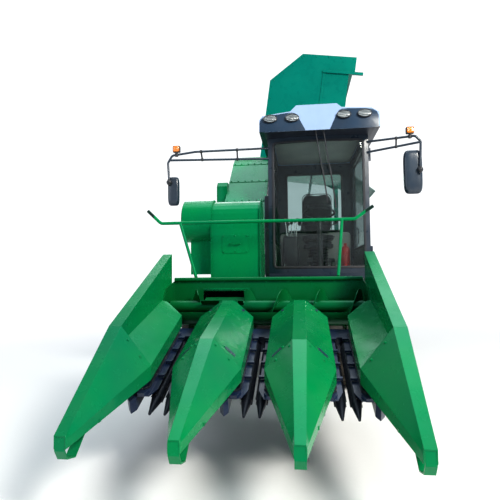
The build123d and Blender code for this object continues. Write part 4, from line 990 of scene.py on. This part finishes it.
LINKS, LINK_HEIGHT = 40, 27.0
link_plate = plate(rounded(0.047, 0.015, 4, 12), 0.003, (0, 0, 0), LEFT, REAR)
roller = turned([(0, 0.001), (0.006, 0.001), (0.006, 0.013), (0, 0.013)], 8)
link = together([link_plate, (link_plate[0] + (0, 0, 0.008), link_plate[1]), roller])
link_spots, link_ways = stadium(LINKS, 116, -165, -862, 37)
link_spots = np.column_stack([link_spots, np.full(LINKS, LINK_HEIGHT)])
links = []
for x in (-600, 0, 600):
    for side in (-1, 1):
        ways = link_ways[:, :1] * (side, 0, 0) + link_ways[:, 1:] * row_rear
        links.append(repeated(link, at(on_row(x, link_spots * (side, 1, 1))), row_up, ways))
piece("gathering_links", links, "header", iron)

# %% [markdown]
# ## Windows
# Every pane is held in a black seal. Its section is carried round the pane's outline,
# a rectangle with round corners whose points are spread evenly along it, so that the same
# path can also be laid on the bowed windscreen by giving each point the bow's depth.

# %% Seals of the panes


def outline(width, height, radius, count):
    """Even points round a rectangle with round corners, in its own plane."""
    turn = np.linspace(0, 2 * pi, 48, endpoint=False) + pi / 48
    round_part = np.stack([np.cos(turn), np.sin(turn)], -1)
    loop = np.sign(round_part) * (width / 2 - radius, height / 2 - radius) + radius * round_part
    loop = np.concatenate([loop, loop[:1]])
    way = np.concatenate([[0], np.cumsum(np.linalg.norm(np.diff(loop, axis=0), axis=1))])
    even = np.linspace(0, way[-1], count, endpoint=False)
    return np.stack([np.interp(even, way, loop[:, 0]), np.interp(even, way, loop[:, 1])], -1)


def stood(line, x=None, y=None):
    """Outline of (across, height) as frame places in the upright plane at that x, or else at that y."""
    level = np.full(len(line), float(y if x is None else x))
    columns = (line[:, 0], level, line[:, 1]) if x is None else (level, line[:, 0], line[:, 1])
    return at(np.column_stack(columns))


SEAL = np.array([(-0.014, -0.002), (-0.014, 0.004), (-0.009, 0.008), (0.009, 0.008), (0.014, 0.004),
                 (0.014, -0.002)])
screen = outline(1056, 1490, 40, 200) + (535, 2065)
screen = np.column_stack([screen[:, 0], glass_front(screen[:, 0]) - 8, screen[:, 1]])
side_pane = outline(1129, 1110, 40, 160) + (750, 2225)
rear_pane = outline(820, 860, 40, 140) + (535, 2300)
door_pane = outline(1123, 1200, 40, 160) + (745, 2180)
SEALS = (
    # path and the way that the seal faces
    (at(screen), FRONT),
    (stood(side_pane, x=-55), RIGHT),
    (stood(side_pane, x=-10), LEFT),
    (stood(rear_pane, y=1440), REAR),
    (stood(rear_pane, y=1395), FRONT),
)
DOOR_SEALS = ((stood(door_pane, x=1125), LEFT), (stood(door_pane, x=1087), RIGHT))
for name, paths, body in (("window_seals", SEALS, "machine"), ("door_seals", DOOR_SEALS, "door")):
    piece(name, [carried(SEAL, path, way, True) for path, way in paths], body, black_plastic)

# %% [markdown]
# ## Mirrors and their arms
# The mirrors hang on two tubes each, tied together by short struts. The solids are the shells
# and the tubes. The shells are replaced by domed ones, made like most of the hard fittings here
# from an outline stacked at several heights and scales. The reflecting glass, the clamps that
# grip the tubes, the struts and the amber lamps with their sockets are added.

# %% Stacked outlines


def stacked(shape, levels, middle, rise=UP, lead=LEFT):
    """Outline at (height, scale) levels along rise, closed at both ends."""
    levels = np.asarray(levels, float)
    levels = np.concatenate([[(levels[0, 0], 0)], levels, [(levels[-1, 0], 0)]])
    flat = np.concatenate([shape, np.zeros((len(shape), 1))], 1)
    points = flat * levels[:, 1:, None] + np.array(UP) * levels[:, :1, None]
    return repeated(grid(points), at(middle), rise, lead)


def eased(height, size, ease=0.006):
    """Levels of a straight block with eased edges at both ends."""
    small = 1 - ease / size
    return [(0, small), (ease, 1), (height - ease, 1), (height, small)]


# %% Mirror shells, glass, clamps, struts and amber lamps
MIRRORS = (
    # middle x and z, width and height of the shell, and the clamp's (x, z) on the tube
    (-1159, 2233, 0.134, 0.343, (-1198, 2330)),
    (1568, 2363, 0.200, 0.490, (1632, 2375)),
)
DOME = [(0, 0.97), (0.004, 1), (0.016, 1), (0.030, 0.985), (0.044, 0.93), (0.053, 0.84), (0.058, 0.68),
        (0.060, 0.40)]
CLAMP_BALL = turned([(0, -0.034), (0.018, -0.030), (0.030, -0.014), (0.033, 0.002), (0.028, 0.018),
                     (0.015, 0.030), (0, 0.033)], 28)
COLLAR = turned([(0, -0.012), (0.017, -0.012), (0.019, 0), (0.017, 0.012), (0, 0.012)], 16)
SOCKET = turned([(0, -0.020), (0.019, -0.020), (0.021, 0.014), (0.016, 0.020), (0.016, 0.030),
                 (0, 0.030)], 24)
LAMP_BOX = [(0, 0.95), (0.004, 1), (0.036, 1), (0.040, 0.95)]
LAMP_FACE = [(0.018, 1), (0.026, 0.99), (0.031, 0.93), (0.033, 0.80)]
STRUTS = (((-820, -180, 2684), (-820, -117, 2604)), ((-413, -55, 2724), (-413, -25, 2618)),
          ((1408, -102, 2764), (1408, -86, 2671)))
AMBER = ((-1107.75, -200, 2651.3), (1540.5, -174.2, 2755.2))
glasses, shells, clamps, ambers = [], [], [], []
for middle_x, middle_z, wide, high, (x, z) in MIRRORS:
    shells.append(stacked(rounded(wide, high, 5, 72), DOME, (middle_x, -127, middle_z), FRONT))
    pane = rounded(wide - 0.022, high - 0.026, 6, 64)
    glasses.append(plate(pane, 0.003, at(middle_x, -128, middle_z), RIGHT, UP, 0.002))
    clamps.append(repeated(CLAMP_BALL, at(x, -198, z), FRONT))
    clamps.append(plate(rounded(0.030, 0.075, 5, 40), 0.036, at(x, -184, z), edge=0.005))
    clamps.append(repeated(bolt(0.005, 0.006), at([(x, -220, z - 25), (x, -220, z + 25)]), FRONT))
for ends in STRUTS:
    clamps.append(carried(circle(0.010, 12), at(row(*ends, 4)), LEFT))
    clamps.append(repeated(COLLAR, at(ends), (1, -0.2, 0), UP))
for x, y, z in AMBER:
    clamps.append(repeated(SOCKET, at(x, y, z)))
    clamps.append(stacked(rounded(0.086, 0.078, 8, 40), LAMP_BOX, (x, y + 20, z + 66), FRONT))
    for way in (FRONT, REAR):
        ambers.append(stacked(rounded(0.074, 0.066, 7, 40), LAMP_FACE, (x, y, z + 66), way))
piece("amber_lamps", ambers, "machine", amber_lens)
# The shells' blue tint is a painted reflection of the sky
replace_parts(piece("mirror_shells", shells, "machine", sky_tinted_shell), "mirrors")
piece("mirror_glass", glasses, "machine", mirror_face)
piece("mirror_clamps", clamps, "machine", black_plastic)

# %% [markdown]
# ## Driver's place
# Through the windscreen one sees the seat, a steering column, a side console with levers and
# the grey lining behind. They are stacked outlines again: boxes with soft corners, bellows and
# housings from the same formula.

# %% Console
CONSOLE = [(0, 0.96), (0.02, 1), (0.42, 1), (0.47, 0.94), (0.48, 0.86)]
DISPLAY = [(0, 0.9), (0.012, 1), (0.05, 1), (0.062, 0.9)]
console = [
    stacked(rounded(0.22, 0.62, 8, 48), CONSOLE, (190, 850, 1252)),
    stacked(rounded(0.16, 0.12, 8, 40), eased(0.10, 0.06), (560, 455, 1905), (0, 0.19, 0.98)),
    stacked(rounded(0.30, 0.16, 6, 48), DISPLAY, (560, 330, 2010), (0, 0.75, 0.66)),
]
piece("cab_console", console, "machine", black_plastic)

# %% Levers, pedals and extinguisher
LEVERS = ((150, 650, -0.10), (205, 650, 0.0), (260, 650, 0.08), (175, 780, -0.05), (235, 780, 0.05))
KNOB = turned([(0, -0.022), (0.014, -0.020), (0.022, -0.004), (0.021, 0.010), (0.012, 0.020), (0, 0.022)], 20)
BOTTLE = [(0, 0.9), (0.01, 1), (0.28, 1), (0.31, 0.8), (0.33, 0.35), (0.36, 0.35)]
knobs, stems, reds = [], [], []
for k, (x, y, lean) in enumerate(LEVERS):
    top = (x + 300 * lean, y - 50, 1950 - 40 * (k % 2))
    stems.append(carried(circle(0.006, 10), at(row((x, y, 1725), top, 4)), LEFT))
    (knobs if k else reds).append(repeated(KNOB, at(top), (0, -0.2, 1)))
for x in (430, 690):
    pedal_arm = bent(at([(x, 330, 1255), (x, 300, 1370), (x, 260, 1400)]), 0.03)
    stems.append(carried(circle(0.008, 10), pedal_arm, LEFT))
    knobs.append(plate(rounded(0.075, 0.055, 6, 32), 0.012, at(x, 262, 1402), LEFT, (0, 0.5, 0.86), 0.003))
reds.append(stacked(circle(0.055, 32), BOTTLE, (860, 300, 1252)))
piece("lever_knobs", knobs, "machine", black_plastic)
piece("lever_stems", stems, "machine", chrome)
piece("red_fittings", reds, "machine", red_plastic)

# %% Linings and mat
linings = [
    plate(rounded(1.03, 0.58, 16, 64), 0.014, at(535, 1394, 1556), edge=0.006),
    plate(rounded(1.05, 1.20, 18, 64), 0.012, at(535, 775, 2890), LEFT, FRONT, 0.006),
    plate(rounded(1.22, 0.36, 16, 64), 0.012, at(-9, 750, 1452), REAR, UP, 0.006),
]
piece("cab_linings", linings, "machine", panel_plastic)
mat = plate(rounded(1.02, 1.12, 18, 64), 0.008, at(535, 720, 1250), LEFT, REAR, 0.003)
rib = plate(rounded(0.94, 0.012, 4, 16), 0.004, (0, 0, 0), LEFT, REAR)
ribs = repeated(rib, at(row((535, 240, 1258), (535, 1200, 1258), 25)))
piece("floor_mat", [mat, ribs], "machine", rubber)

# %% [markdown]
# ## Seat
# The cushion and the back rest are stuffed cloth, so they start as plain rounded blocks a
# little too small. A cloth simulation blows them up against rows of sewn points that stay
# fixed, which raises soft channels between the seams. The movement is capped, the result is
# kept as the mesh, and a cord of piping closes the edge.

# %% Stuffed pads


def pad_block(size, power):
    """Closed rounded block by the superellipsoid rule; size is (across, along, thick) in metres."""
    u = np.linspace(-pi / 2, pi / 2, 33)[:, None]
    v = np.linspace(0, 2 * pi, 96, endpoint=False)
    c, s = np.cos(u), np.sin(u)
    ease = 2 / power
    level = np.abs(c) ** (ease * 1.4)
    x = size[0] / 2 * level * np.sign(np.cos(v)) * np.abs(np.cos(v)) ** ease
    y = size[1] / 2 * level * np.sign(np.sin(v)) * np.abs(np.sin(v)) ** ease
    z = size[2] / 2 * np.sign(s) * np.abs(s) ** (ease * 1.4) + 0 * v
    return grid(np.stack([x, y, z], -1))


def corners_of(mesh):
    """The mesh's points as an array of rows."""
    flat = np.empty(len(mesh.vertices) * 3)
    mesh.vertices.foreach_get("co", flat)
    return flat.reshape(-1, 3)


def blown(made, points, held_points, cap):
    """Points of the pad after a cloth simulation under pressure, moved by at most cap."""
    held = made.vertex_groups.new(name="sewn")
    held.add(np.flatnonzero(held_points).tolist(), 1.0, "REPLACE")
    cloth = made.modifiers.new("stuffing", "CLOTH")
    cloth.settings.use_pressure = True
    cloth.settings.uniform_pressure_force = 4
    cloth.settings.effector_weights.gravity = 0
    cloth.settings.vertex_group_mass = "sewn"
    for step in range(1, 21):
        scene.frame_set(step)
    move = corners_of(made.evaluated_get(bpy.context.evaluated_depsgraph_get()).data) - points
    made.modifiers.clear()
    scene.frame_set(1)
    far = np.linalg.norm(move, axis=1, keepdims=True)
    return points + move * np.minimum(1, cap / np.maximum(far, 1e-9))


def stuffed(name, size, middle, rise, seams, cap):
    """Cloth pad blown up between sewn lines at the given shares of its length, moved by at most cap."""
    block = repeated(pad_block(size, 5), at(middle), rise)
    made = piece(name, [block], "machine", seat_cloth, 180)
    even = made.modifiers.new("even", "REMESH")
    even.mode, even.voxel_size = "VOXEL", 0.007
    made.data = bpy.data.meshes.new_from_object(made.evaluated_get(bpy.context.evaluated_depsgraph_get()))
    made.modifiers.clear()
    points = corners_of(made.data)
    along = (points - at(middle)) @ np.cross(unit(rise), LEFT) / size[1]
    height = (points - at(middle)) @ unit(rise)
    sewn = np.min(np.abs(along[:, None] - np.asarray(seams)), 1) * size[1]
    points = blown(made, points, (sewn < 0.006) | (height < -0.42 * size[2]), cap)
    dip = 0.006 * np.exp(-(sewn / 0.005) ** 2) * np.clip(height / size[2] * 4, -1, 1)
    made.data.vertices.foreach_set("co", (points - dip[:, None] * unit(rise)).ravel())
    made.data.materials.clear()
    made.data.materials.append(seat_cloth)
    made.data.polygons.foreach_set("use_smooth", np.ones(len(made.data.polygons), bool))
    fine = made.modifiers.new("fine", "SUBSURF")
    fine.levels = fine.render_levels = 1
    return made


CUSHION_SEAMS, BACK_SEAMS = (-0.28, -0.10, 0.08, 0.26), (-0.30, -0.14, 0.02, 0.18)
cushion = stuffed("seat_cushion", (0.430, 0.430, 0.092), (560, 980, 1730), UP, CUSHION_SEAMS, 0.024)
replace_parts(cushion, "driver_seat")
stuffed("seat_back", (0.410, 0.560, 0.084), (560, 1195, 2105), FRONT, BACK_SEAMS, 0.022)

# %% Seat stand and piping
SEAT_X = 560
SEAT_FOOT = [(0, 0.97), (0.006, 1), (0.05, 1), (0.056, 0.97)]
bellows = [(0.02 * k, 1.0 if k % 2 else 0.90) for k in range(15)]
stand = [
    stacked(rounded(0.30, 0.34, 8, 48), SEAT_FOOT, (SEAT_X, 980, 1251)),
    stacked(rounded(0.27, 0.31, 6, 48), bellows, (SEAT_X, 980, 1306)),
    stacked(rounded(0.40, 0.40, 8, 48), eased(0.05, 0.2), (SEAT_X, 980, 1590)),
    stacked(rounded(0.36, 0.36, 8, 48), eased(0.040, 0.18), (SEAT_X, 980, 1636)),
    stacked(rounded(0.12, 0.05, 6, 32), eased(0.24, 0.03), (SEAT_X, 1205, 1640)),
    stacked(rounded(0.36, 0.50, 8, 48), eased(0.018, 0.2), (SEAT_X, 1256, 2105), FRONT),
]
ARM_REST = [(0, 0.9), (0.008, 1), (0.03, 1), (0.040, 0.85)]
for x in (310, 810):
    stand.append(stacked(rounded(0.055, 0.30, 6, 40), ARM_REST, (x, 1040, 1940)))
    bracket = [(x, 1150, 1945), (x, 1250, 1945), (SEAT_X + (x - SEAT_X) * 0.6, 1250, 1945)]
    stand.append(carried(rounded(0.030, 0.012, 4, 16), bent(at(bracket), 0.03)))
piece("seat_stand", stand, "machine", black_plastic)
cushion_edge = np.column_stack([outline(432, 432, 70, 120) + (SEAT_X, 980), np.full(120, 1738.0)])
back_edge = stood(outline(412, 562, 75, 140) + (SEAT_X, 2105), y=1189)
cord = circle(0.005, 10)
piping = [carried(cord, at(cushion_edge), UP, True), carried(cord, back_edge, FRONT, True)]
piece("seat_piping", piping, "machine", black_plastic)

# %% [markdown]
# ## Engine, tank and rear
# Behind the cab the raised bin leaves the engine in view. The solids give its block, the
# cooler and the tank. Covers, ribs, a belt drive, tank straps, rigid pipes and tail lamps make
# them read as what they are, all from stacked outlines and carried sections.

# %% Engine covers and manifold
HEAD_COVER, SIDE_COVER = [(0, 1), (0.05, 1), (0.075, 0.97), (0.085, 0.90)], [(0, 1), (0.03, 1), (0.045, 0.92)]
FILLER = [(0, 1), (0.03, 1), (0.04, 0.9), (0.046, 0.6)]
covers = [stacked(rounded(0.30, 0.74, 10, 56), HEAD_COVER, (60, 2000, 1400)),
          stacked(rounded(0.16, 0.70, 10, 56), SIDE_COVER, (310, 2000, 1400))]
for y in np.linspace(1700, 2300, 5):
    covers.append(stacked(rounded(0.10, 0.085, 4, 32), FILLER, (60, y, 1484)))
for z in (880, 980, 1080, 1180, 1280):
    covers.append(stacked(rounded(0.020, 0.78, 8, 24), eased(0.018, 0.01, 0.003), (-150, 2000, z), RIGHT, UP))
manifold = [(-148, 1680, 1345), (-205, 1680, 1345), (-205, 2330, 1345), (-205, 2390, 1240),
            (-148, 2390, 1200)]
covers.append(carried(circle(0.034, 20), bent(at(manifold), 0.05), (0.2, 0.1, 1)))
for y in (1820, 1960, 2100, 2240):
    covers.append(carried(circle(0.026, 16), at(row((-148, y, 1345), (-200, y, 1345), 3))))
piece("engine_covers", covers, "machine", engine_paint)

# %% Belt drive
PULLEYS = ((140, 980, 0.130), (20, 1240, 0.085), (300, 1260, 0.070))
GROOVE = np.array([(0, 0.002), (1.0, 0.002), (1.0, 0.008), (0.90, 0.018), (1.0, 0.028), (1.0, 0.034),
                   (0.55, 0.034), (0.50, 0.022), (0.22, 0.022), (0.22, 0.045), (0, 0.045)])
pulleys = [repeated(turned(GROOVE * (radius, 1), 48), at(x, 2418, z), REAR) for x, z, radius in PULLEYS]
piece("engine_pulleys", pulleys, "machine", iron)
belt_way = circle(1, 120)
rims = np.array(PULLEYS) * (1, 1, 950)
farthest = (rims[:, :2] @ belt_way.T + rims[:, 2:]).argmax(0)
belt_path = stood(rims[farthest, :2] + rims[farthest, 2:] * belt_way, y=2436)
belt = carried(rounded(0.010, 0.016, 4, 12), belt_path, REAR, True)
piece("engine_belt", [belt], "machine", rubber)

# %% Tank straps and pipes
BAND = np.array([(-0.0015, -0.022), (0.0015, -0.022), (0.0015, 0.022), (-0.0015, 0.022)])
metal_lines = []
for y in (1790, 2130):
    strap = [(-468, y, 830), (-468, y, 1252), (-902, y, 1252), (-902, y, 805)]
    metal_lines.append(carried(BAND, bent(at(strap), 0.010), REAR))
    metal_lines.append(repeated(bolt(0.008, 0.012), at(-700, y, 1253)))
for side in (-1, 1):
    for z, first, last in ((708, -480, 1290), (684, -440, 1250)):
        pipe = [(side * 455, first, z), (side * 474, first, z), (side * 474, last, z), (side * 455, last, z)]
        metal_lines.append(carried(circle(0.007, 10), bent(at(pipe), 0.012)))
    for y in (-300, 200, 700, 1100):
        metal_lines.append(plate(rounded(0.030, 0.056, 8, 24), 0.022, at(side * 460, y, 696), (0, side, 0)))
piece("straps_and_pipes", metal_lines, "machine", zinc)

# %% Step treads and tail lamps
STUD = turned([(0.009, 0), (0.008, 0.003), (0.005, 0.005), (0, 0.005)], 8)
studs = np.meshgrid(np.linspace(1015, 1165, 5), np.linspace(840, 1160, 9), (440, 720, 1000), indexing="ij")
treads = repeated(STUD, at(np.stack(studs, -1).reshape(-1, 3)))
piece("step_treads", [treads], "machine", frame_paint)
TAIL_LAMPS = (
    # name, width, height, thickness, drawing y and z, outline power, outline points, edge, finish, slot
    ("tail_boxes", 0.062, 0.190, 0.022, 3291, 1080, 8, 48, 0.004, black_plastic, "black_plastic"),
    ("tail_lenses", 0.050, 0.086, 0.010, 3313, 1124, 6, 40, 0.005, red_lens, "lamp_plastic"),
    ("turn_lenses", 0.050, 0.076, 0.010, 3313, 1034, 6, 40, 0.005, amber_lens, "lamp_plastic"),
)
for name, wide, high, thick, y, z, power, count, ease, finish, slot in TAIL_LAMPS:
    face = rounded(wide, high, power, count)
    pair = [plate(face, thick, at(x, y, z), RIGHT, UP, ease) for x in (1005, -730)]
    piece(name, pair, "machine", finish)

# %% [markdown]
# ## Lip of the bin
# The side of the bin that the ears slide over ends in a flared board with a folded edge. It is
# thin sheet, so one folded line is thickened by its own normals and drawn out along the bin.

# %% Flared board
LIP_Y, LIP_HALF = (1.650, 3.110), 0.0025
fold = tipped([(966, 0, 2690), (990, 0, 2880), (1280, 0, 3376), (1422, 0, 3279)])[:, [0, 2]] / 1000
fold_along = unit(np.gradient(fold, axis=0))
fold_out = LIP_HALF * np.stack([-fold_along[:, 1], fold_along[:, 0]], -1)
rounds = ((fold + fold_out, LIP_Y[0]), (fold - fold_out, LIP_Y[0]), (fold - fold_out, LIP_Y[1]),
          (fold + fold_out, LIP_Y[1]))
edges = [np.column_stack([line[:, 0], np.full(len(line), y), line[:, 1]]) for line, y in rounds]
sheet = np.stack(edges) + ZERO
ends = sheet.mean(0, keepdims=True).repeat(4, 0)
sheet = np.concatenate([ends[:, :1], sheet, ends[:, -1:]], axis=1)
piece("bin_lip", [grid(sheet, wrap=(True, False))], "bin", bin_paint)

# %% [markdown]
# ## Auger of the header
# Two flights of opposite hand wind round the auger's tube and push the ears to the opening in
# the back wall, where three paddles throw them in. A flight is a helix: the angle grows evenly
# with the distance along the tube, and a thin upright section follows it from tube to rim.

# %% Flights, tube and paddles
AUGER = (-1245, 970)
AUGER_RIM, AUGER_TUBE, AUGER_SHAFT = 0.150, 0.052, 0.030
TUBE_END, SHAFT_END = 0.850, 0.8775
FLIGHT_PITCH, FLIGHT_HALF = 325, 3
FLIGHTS = (
    # start, turns, hand and first turn
    (-840, 0.815, 1, -0.436),
    (-180, 3.15, -1, 0.308),
)


def flight(start, turns, hand, first):
    """Helix: x goes up by the pitch each turn, and the section's four corners turn with it."""
    t = np.linspace(0, turns, int(60 * turns) + 1)[:, None]
    radius = np.array([AUGER_TUBE - 0.006, AUGER_RIM, AUGER_RIM, AUGER_TUBE - 0.006]) * 1000
    x = start + FLIGHT_PITCH * t + np.array([-1, -1, 1, 1]) * FLIGHT_HALF
    angle = 2 * pi * (first + hand * t)
    rows = at(np.stack([x, AUGER[0] + radius * np.cos(angle), AUGER[1] + radius * np.sin(angle)], -1))
    caps = rows.mean(1, keepdims=True).repeat(4, 1)
    return grid(np.concatenate([caps[:1], rows, caps[-1:]]))


auger = [flight(*values) for values in FLIGHTS]
tube = np.array([(0, SHAFT_END), (AUGER_SHAFT, SHAFT_END), (AUGER_SHAFT, TUBE_END), (AUGER_TUBE, TUBE_END)])
tube = np.concatenate([tube * (1, -1), tube[::-1]])
auger.append(repeated(turned(tube, 40), at(0, *AUGER), LEFT, UP))
for turn in np.radians((60, 180, 300)):
    out = np.array([0, -np.sin(turn), np.cos(turn)])
    flat = np.array([0, np.cos(turn), np.sin(turn)])
    middle = at(-370, *AUGER) + 0.088 * out
    auger.append(plate(rounded(0.376, 0.086, 14, 40), 0.006, middle - 0.003 * flat, LEFT, out))
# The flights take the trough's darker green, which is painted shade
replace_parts(piece("auger_flights", auger, "auger", trough_shade_paint), "header_auger")

# %% Rail over the trough and grille of the fan


def ring(radius, half, low, high):
    """Flat ring round Z, open below, from its low to its high face."""
    inner, outer = radius - half, radius + half
    return turned([(inner, low), (inner, high), (outer, high), (outer, low)], 56)


def spokes(count, first, last, place):
    """Round bars from one radius to another about an axis along X."""
    turn = np.arange(count) * 2 * pi / count
    ways = np.stack([0 * turn, np.cos(turn), np.sin(turn)], -1)
    return [carried(circle(0.005, 8), place + np.array([[first], [last]]) * way, LEFT) for way in ways]


rail = [carried(circle(0.020, 16), at(row((-862, -1092, 1206), (862, -1092, 1206), 3)))]
# The rail takes the trough's darker green, which is painted shade
piece("trough_rail", rail, "header", trough_shade_paint)
FAN_FACE_X = -975
rings = [ring(radius, 0.006, 0.001, 0.010) for radius in (0.215, 0.165, 0.115)]
rings.append(turned([(0.060, 0.001), (0.060, 0.014), (0.045, 0.020), (0, 0.022)], 40))
grille = [repeated(shape, at(FAN_FACE_X, *FAN_MIDDLE), RIGHT, UP) for shape in rings]
grille += spokes(8, 0.05, 0.215, at(FAN_FACE_X - 6, *FAN_MIDDLE))
piece("fan_grille", grille, "machine", frame_paint)

# %% [markdown]
# ## Lips and guard of the elevator
# The rounded top of the elevator's foot has a rolled lip on each side, and a drive is covered by
# a folded guard on the outer wall. The lip is a thin strip carried along the arc, and the guard
# is a stacked outline with cut corners. A dark board fills the gap between elevator and cab as painted shade.

# %% Lips, drive guard and a dark board of painted shade in the gap
ELEVATOR_X, LIP_RADIUS = (-650, -110), 224
around = np.linspace(0, np.radians(165), 40)
arc_y = FAN_MIDDLE[0] - LIP_RADIUS * np.cos(around)
arc_z = FAN_MIDDLE[1] + LIP_RADIUS * np.sin(around)
LIP_STRIP = np.array([(-0.013, -0.003), (0.013, -0.003), (0.013, 0.003), (-0.013, 0.003)])
lips = []
for x in (ELEVATOR_X[0] + 3, ELEVATOR_X[1] - 3):
    front = [(x, FAN_MIDDLE[0] - LIP_RADIUS, z) for z in (1215, 1535)]
    path = np.concatenate([front, np.column_stack([np.full(40, x), arc_y, arc_z])])
    lips.append(carried(LIP_STRIP, at(path), LEFT))
GUARD = (700, 2304)
quarter = np.array([(110, 120), (60, 180)]) / 1000
corners = [quarter[:1] * (1, -1), quarter, quarter[::-1] * (-1, 1), quarter * (-1, -1), quarter[1:] * (1, -1)]
cover = np.concatenate(corners)
lips.append(stacked(cover, [(0, 1), (0.128, 1), (0.140, 0.94)], (ELEVATOR_X[0] + 2, *GUARD), RIGHT, REAR))
piece("elevator_lips", lips, "machine", green_paint)
# The gap's shade is painted: a dark strip stands where one would look into the gap
gap_shade_board = plate(rounded(0.050, 1.10, 20, 40), 0.004, at(-82.5, 120, 1640))
piece("gap_shade_board", [gap_shade_board], "machine", cab_paint)

# %% [markdown]
# ## Guard of the cooler, swages of the bin and cap of the tank
# The cooler draws air through a round guard, the bin's flat rear wall is stiffened by pressed
# swages, and the tank has a screw cap. All three are outlines carried or turned as before.

# %% Cooler guard, bin swages and tank cap
COOLER_FACE_X, COOLER_MIDDLE = 925, (1960, 1100)
guard_rings = [ring(radius, 0.005, 0.0, 0.008) for radius in np.linspace(0.070, 0.245, 6)]
guard_rings.append(turned([(0.045, 0), (0.045, 0.010), (0.030, 0.015), (0, 0.016)], 32))
cooler = [repeated(shape, at(COOLER_FACE_X, *COOLER_MIDDLE), LEFT, UP) for shape in guard_rings]
cooler += spokes(6, 0.03, 0.245, at(COOLER_FACE_X + 5, *COOLER_MIDDLE))
piece("cooler_guard", cooler, "machine", zinc)
BIN_REAR_Y, SWAGE_Z = 3150, (1700, 2700)
SWAGE = np.array([(-0.024, -0.001), (0.024, -0.001), (0.014, 0.007), (-0.014, 0.007)])
swages = []
for x in (-520, -160, 200, 560):
    foot_z = max(SWAGE_Z[0], 1315 - x)
    swages.append(carried(SWAGE, at(tipped([(x, BIN_REAR_Y, foot_z), (x, BIN_REAR_Y, SWAGE_Z[1])])), REAR))
piece("bin_swages", swages, "bin", bin_paint)
TANK_CAP = [(0, 0), (0.046, 0), (0.046, 0.030), (0.058, 0.030), (0.060, 0.050), (0.054, 0.058),
            (0.030, 0.060), (0, 0.060)]
tank_cap = repeated(turned(TANK_CAP, 40), at(-800, 1760, 1239))
piece("tank_cap", [tank_cap], "machine", black_plastic)

# %% Bring the scene up to date
bpy.context.view_layer.update()
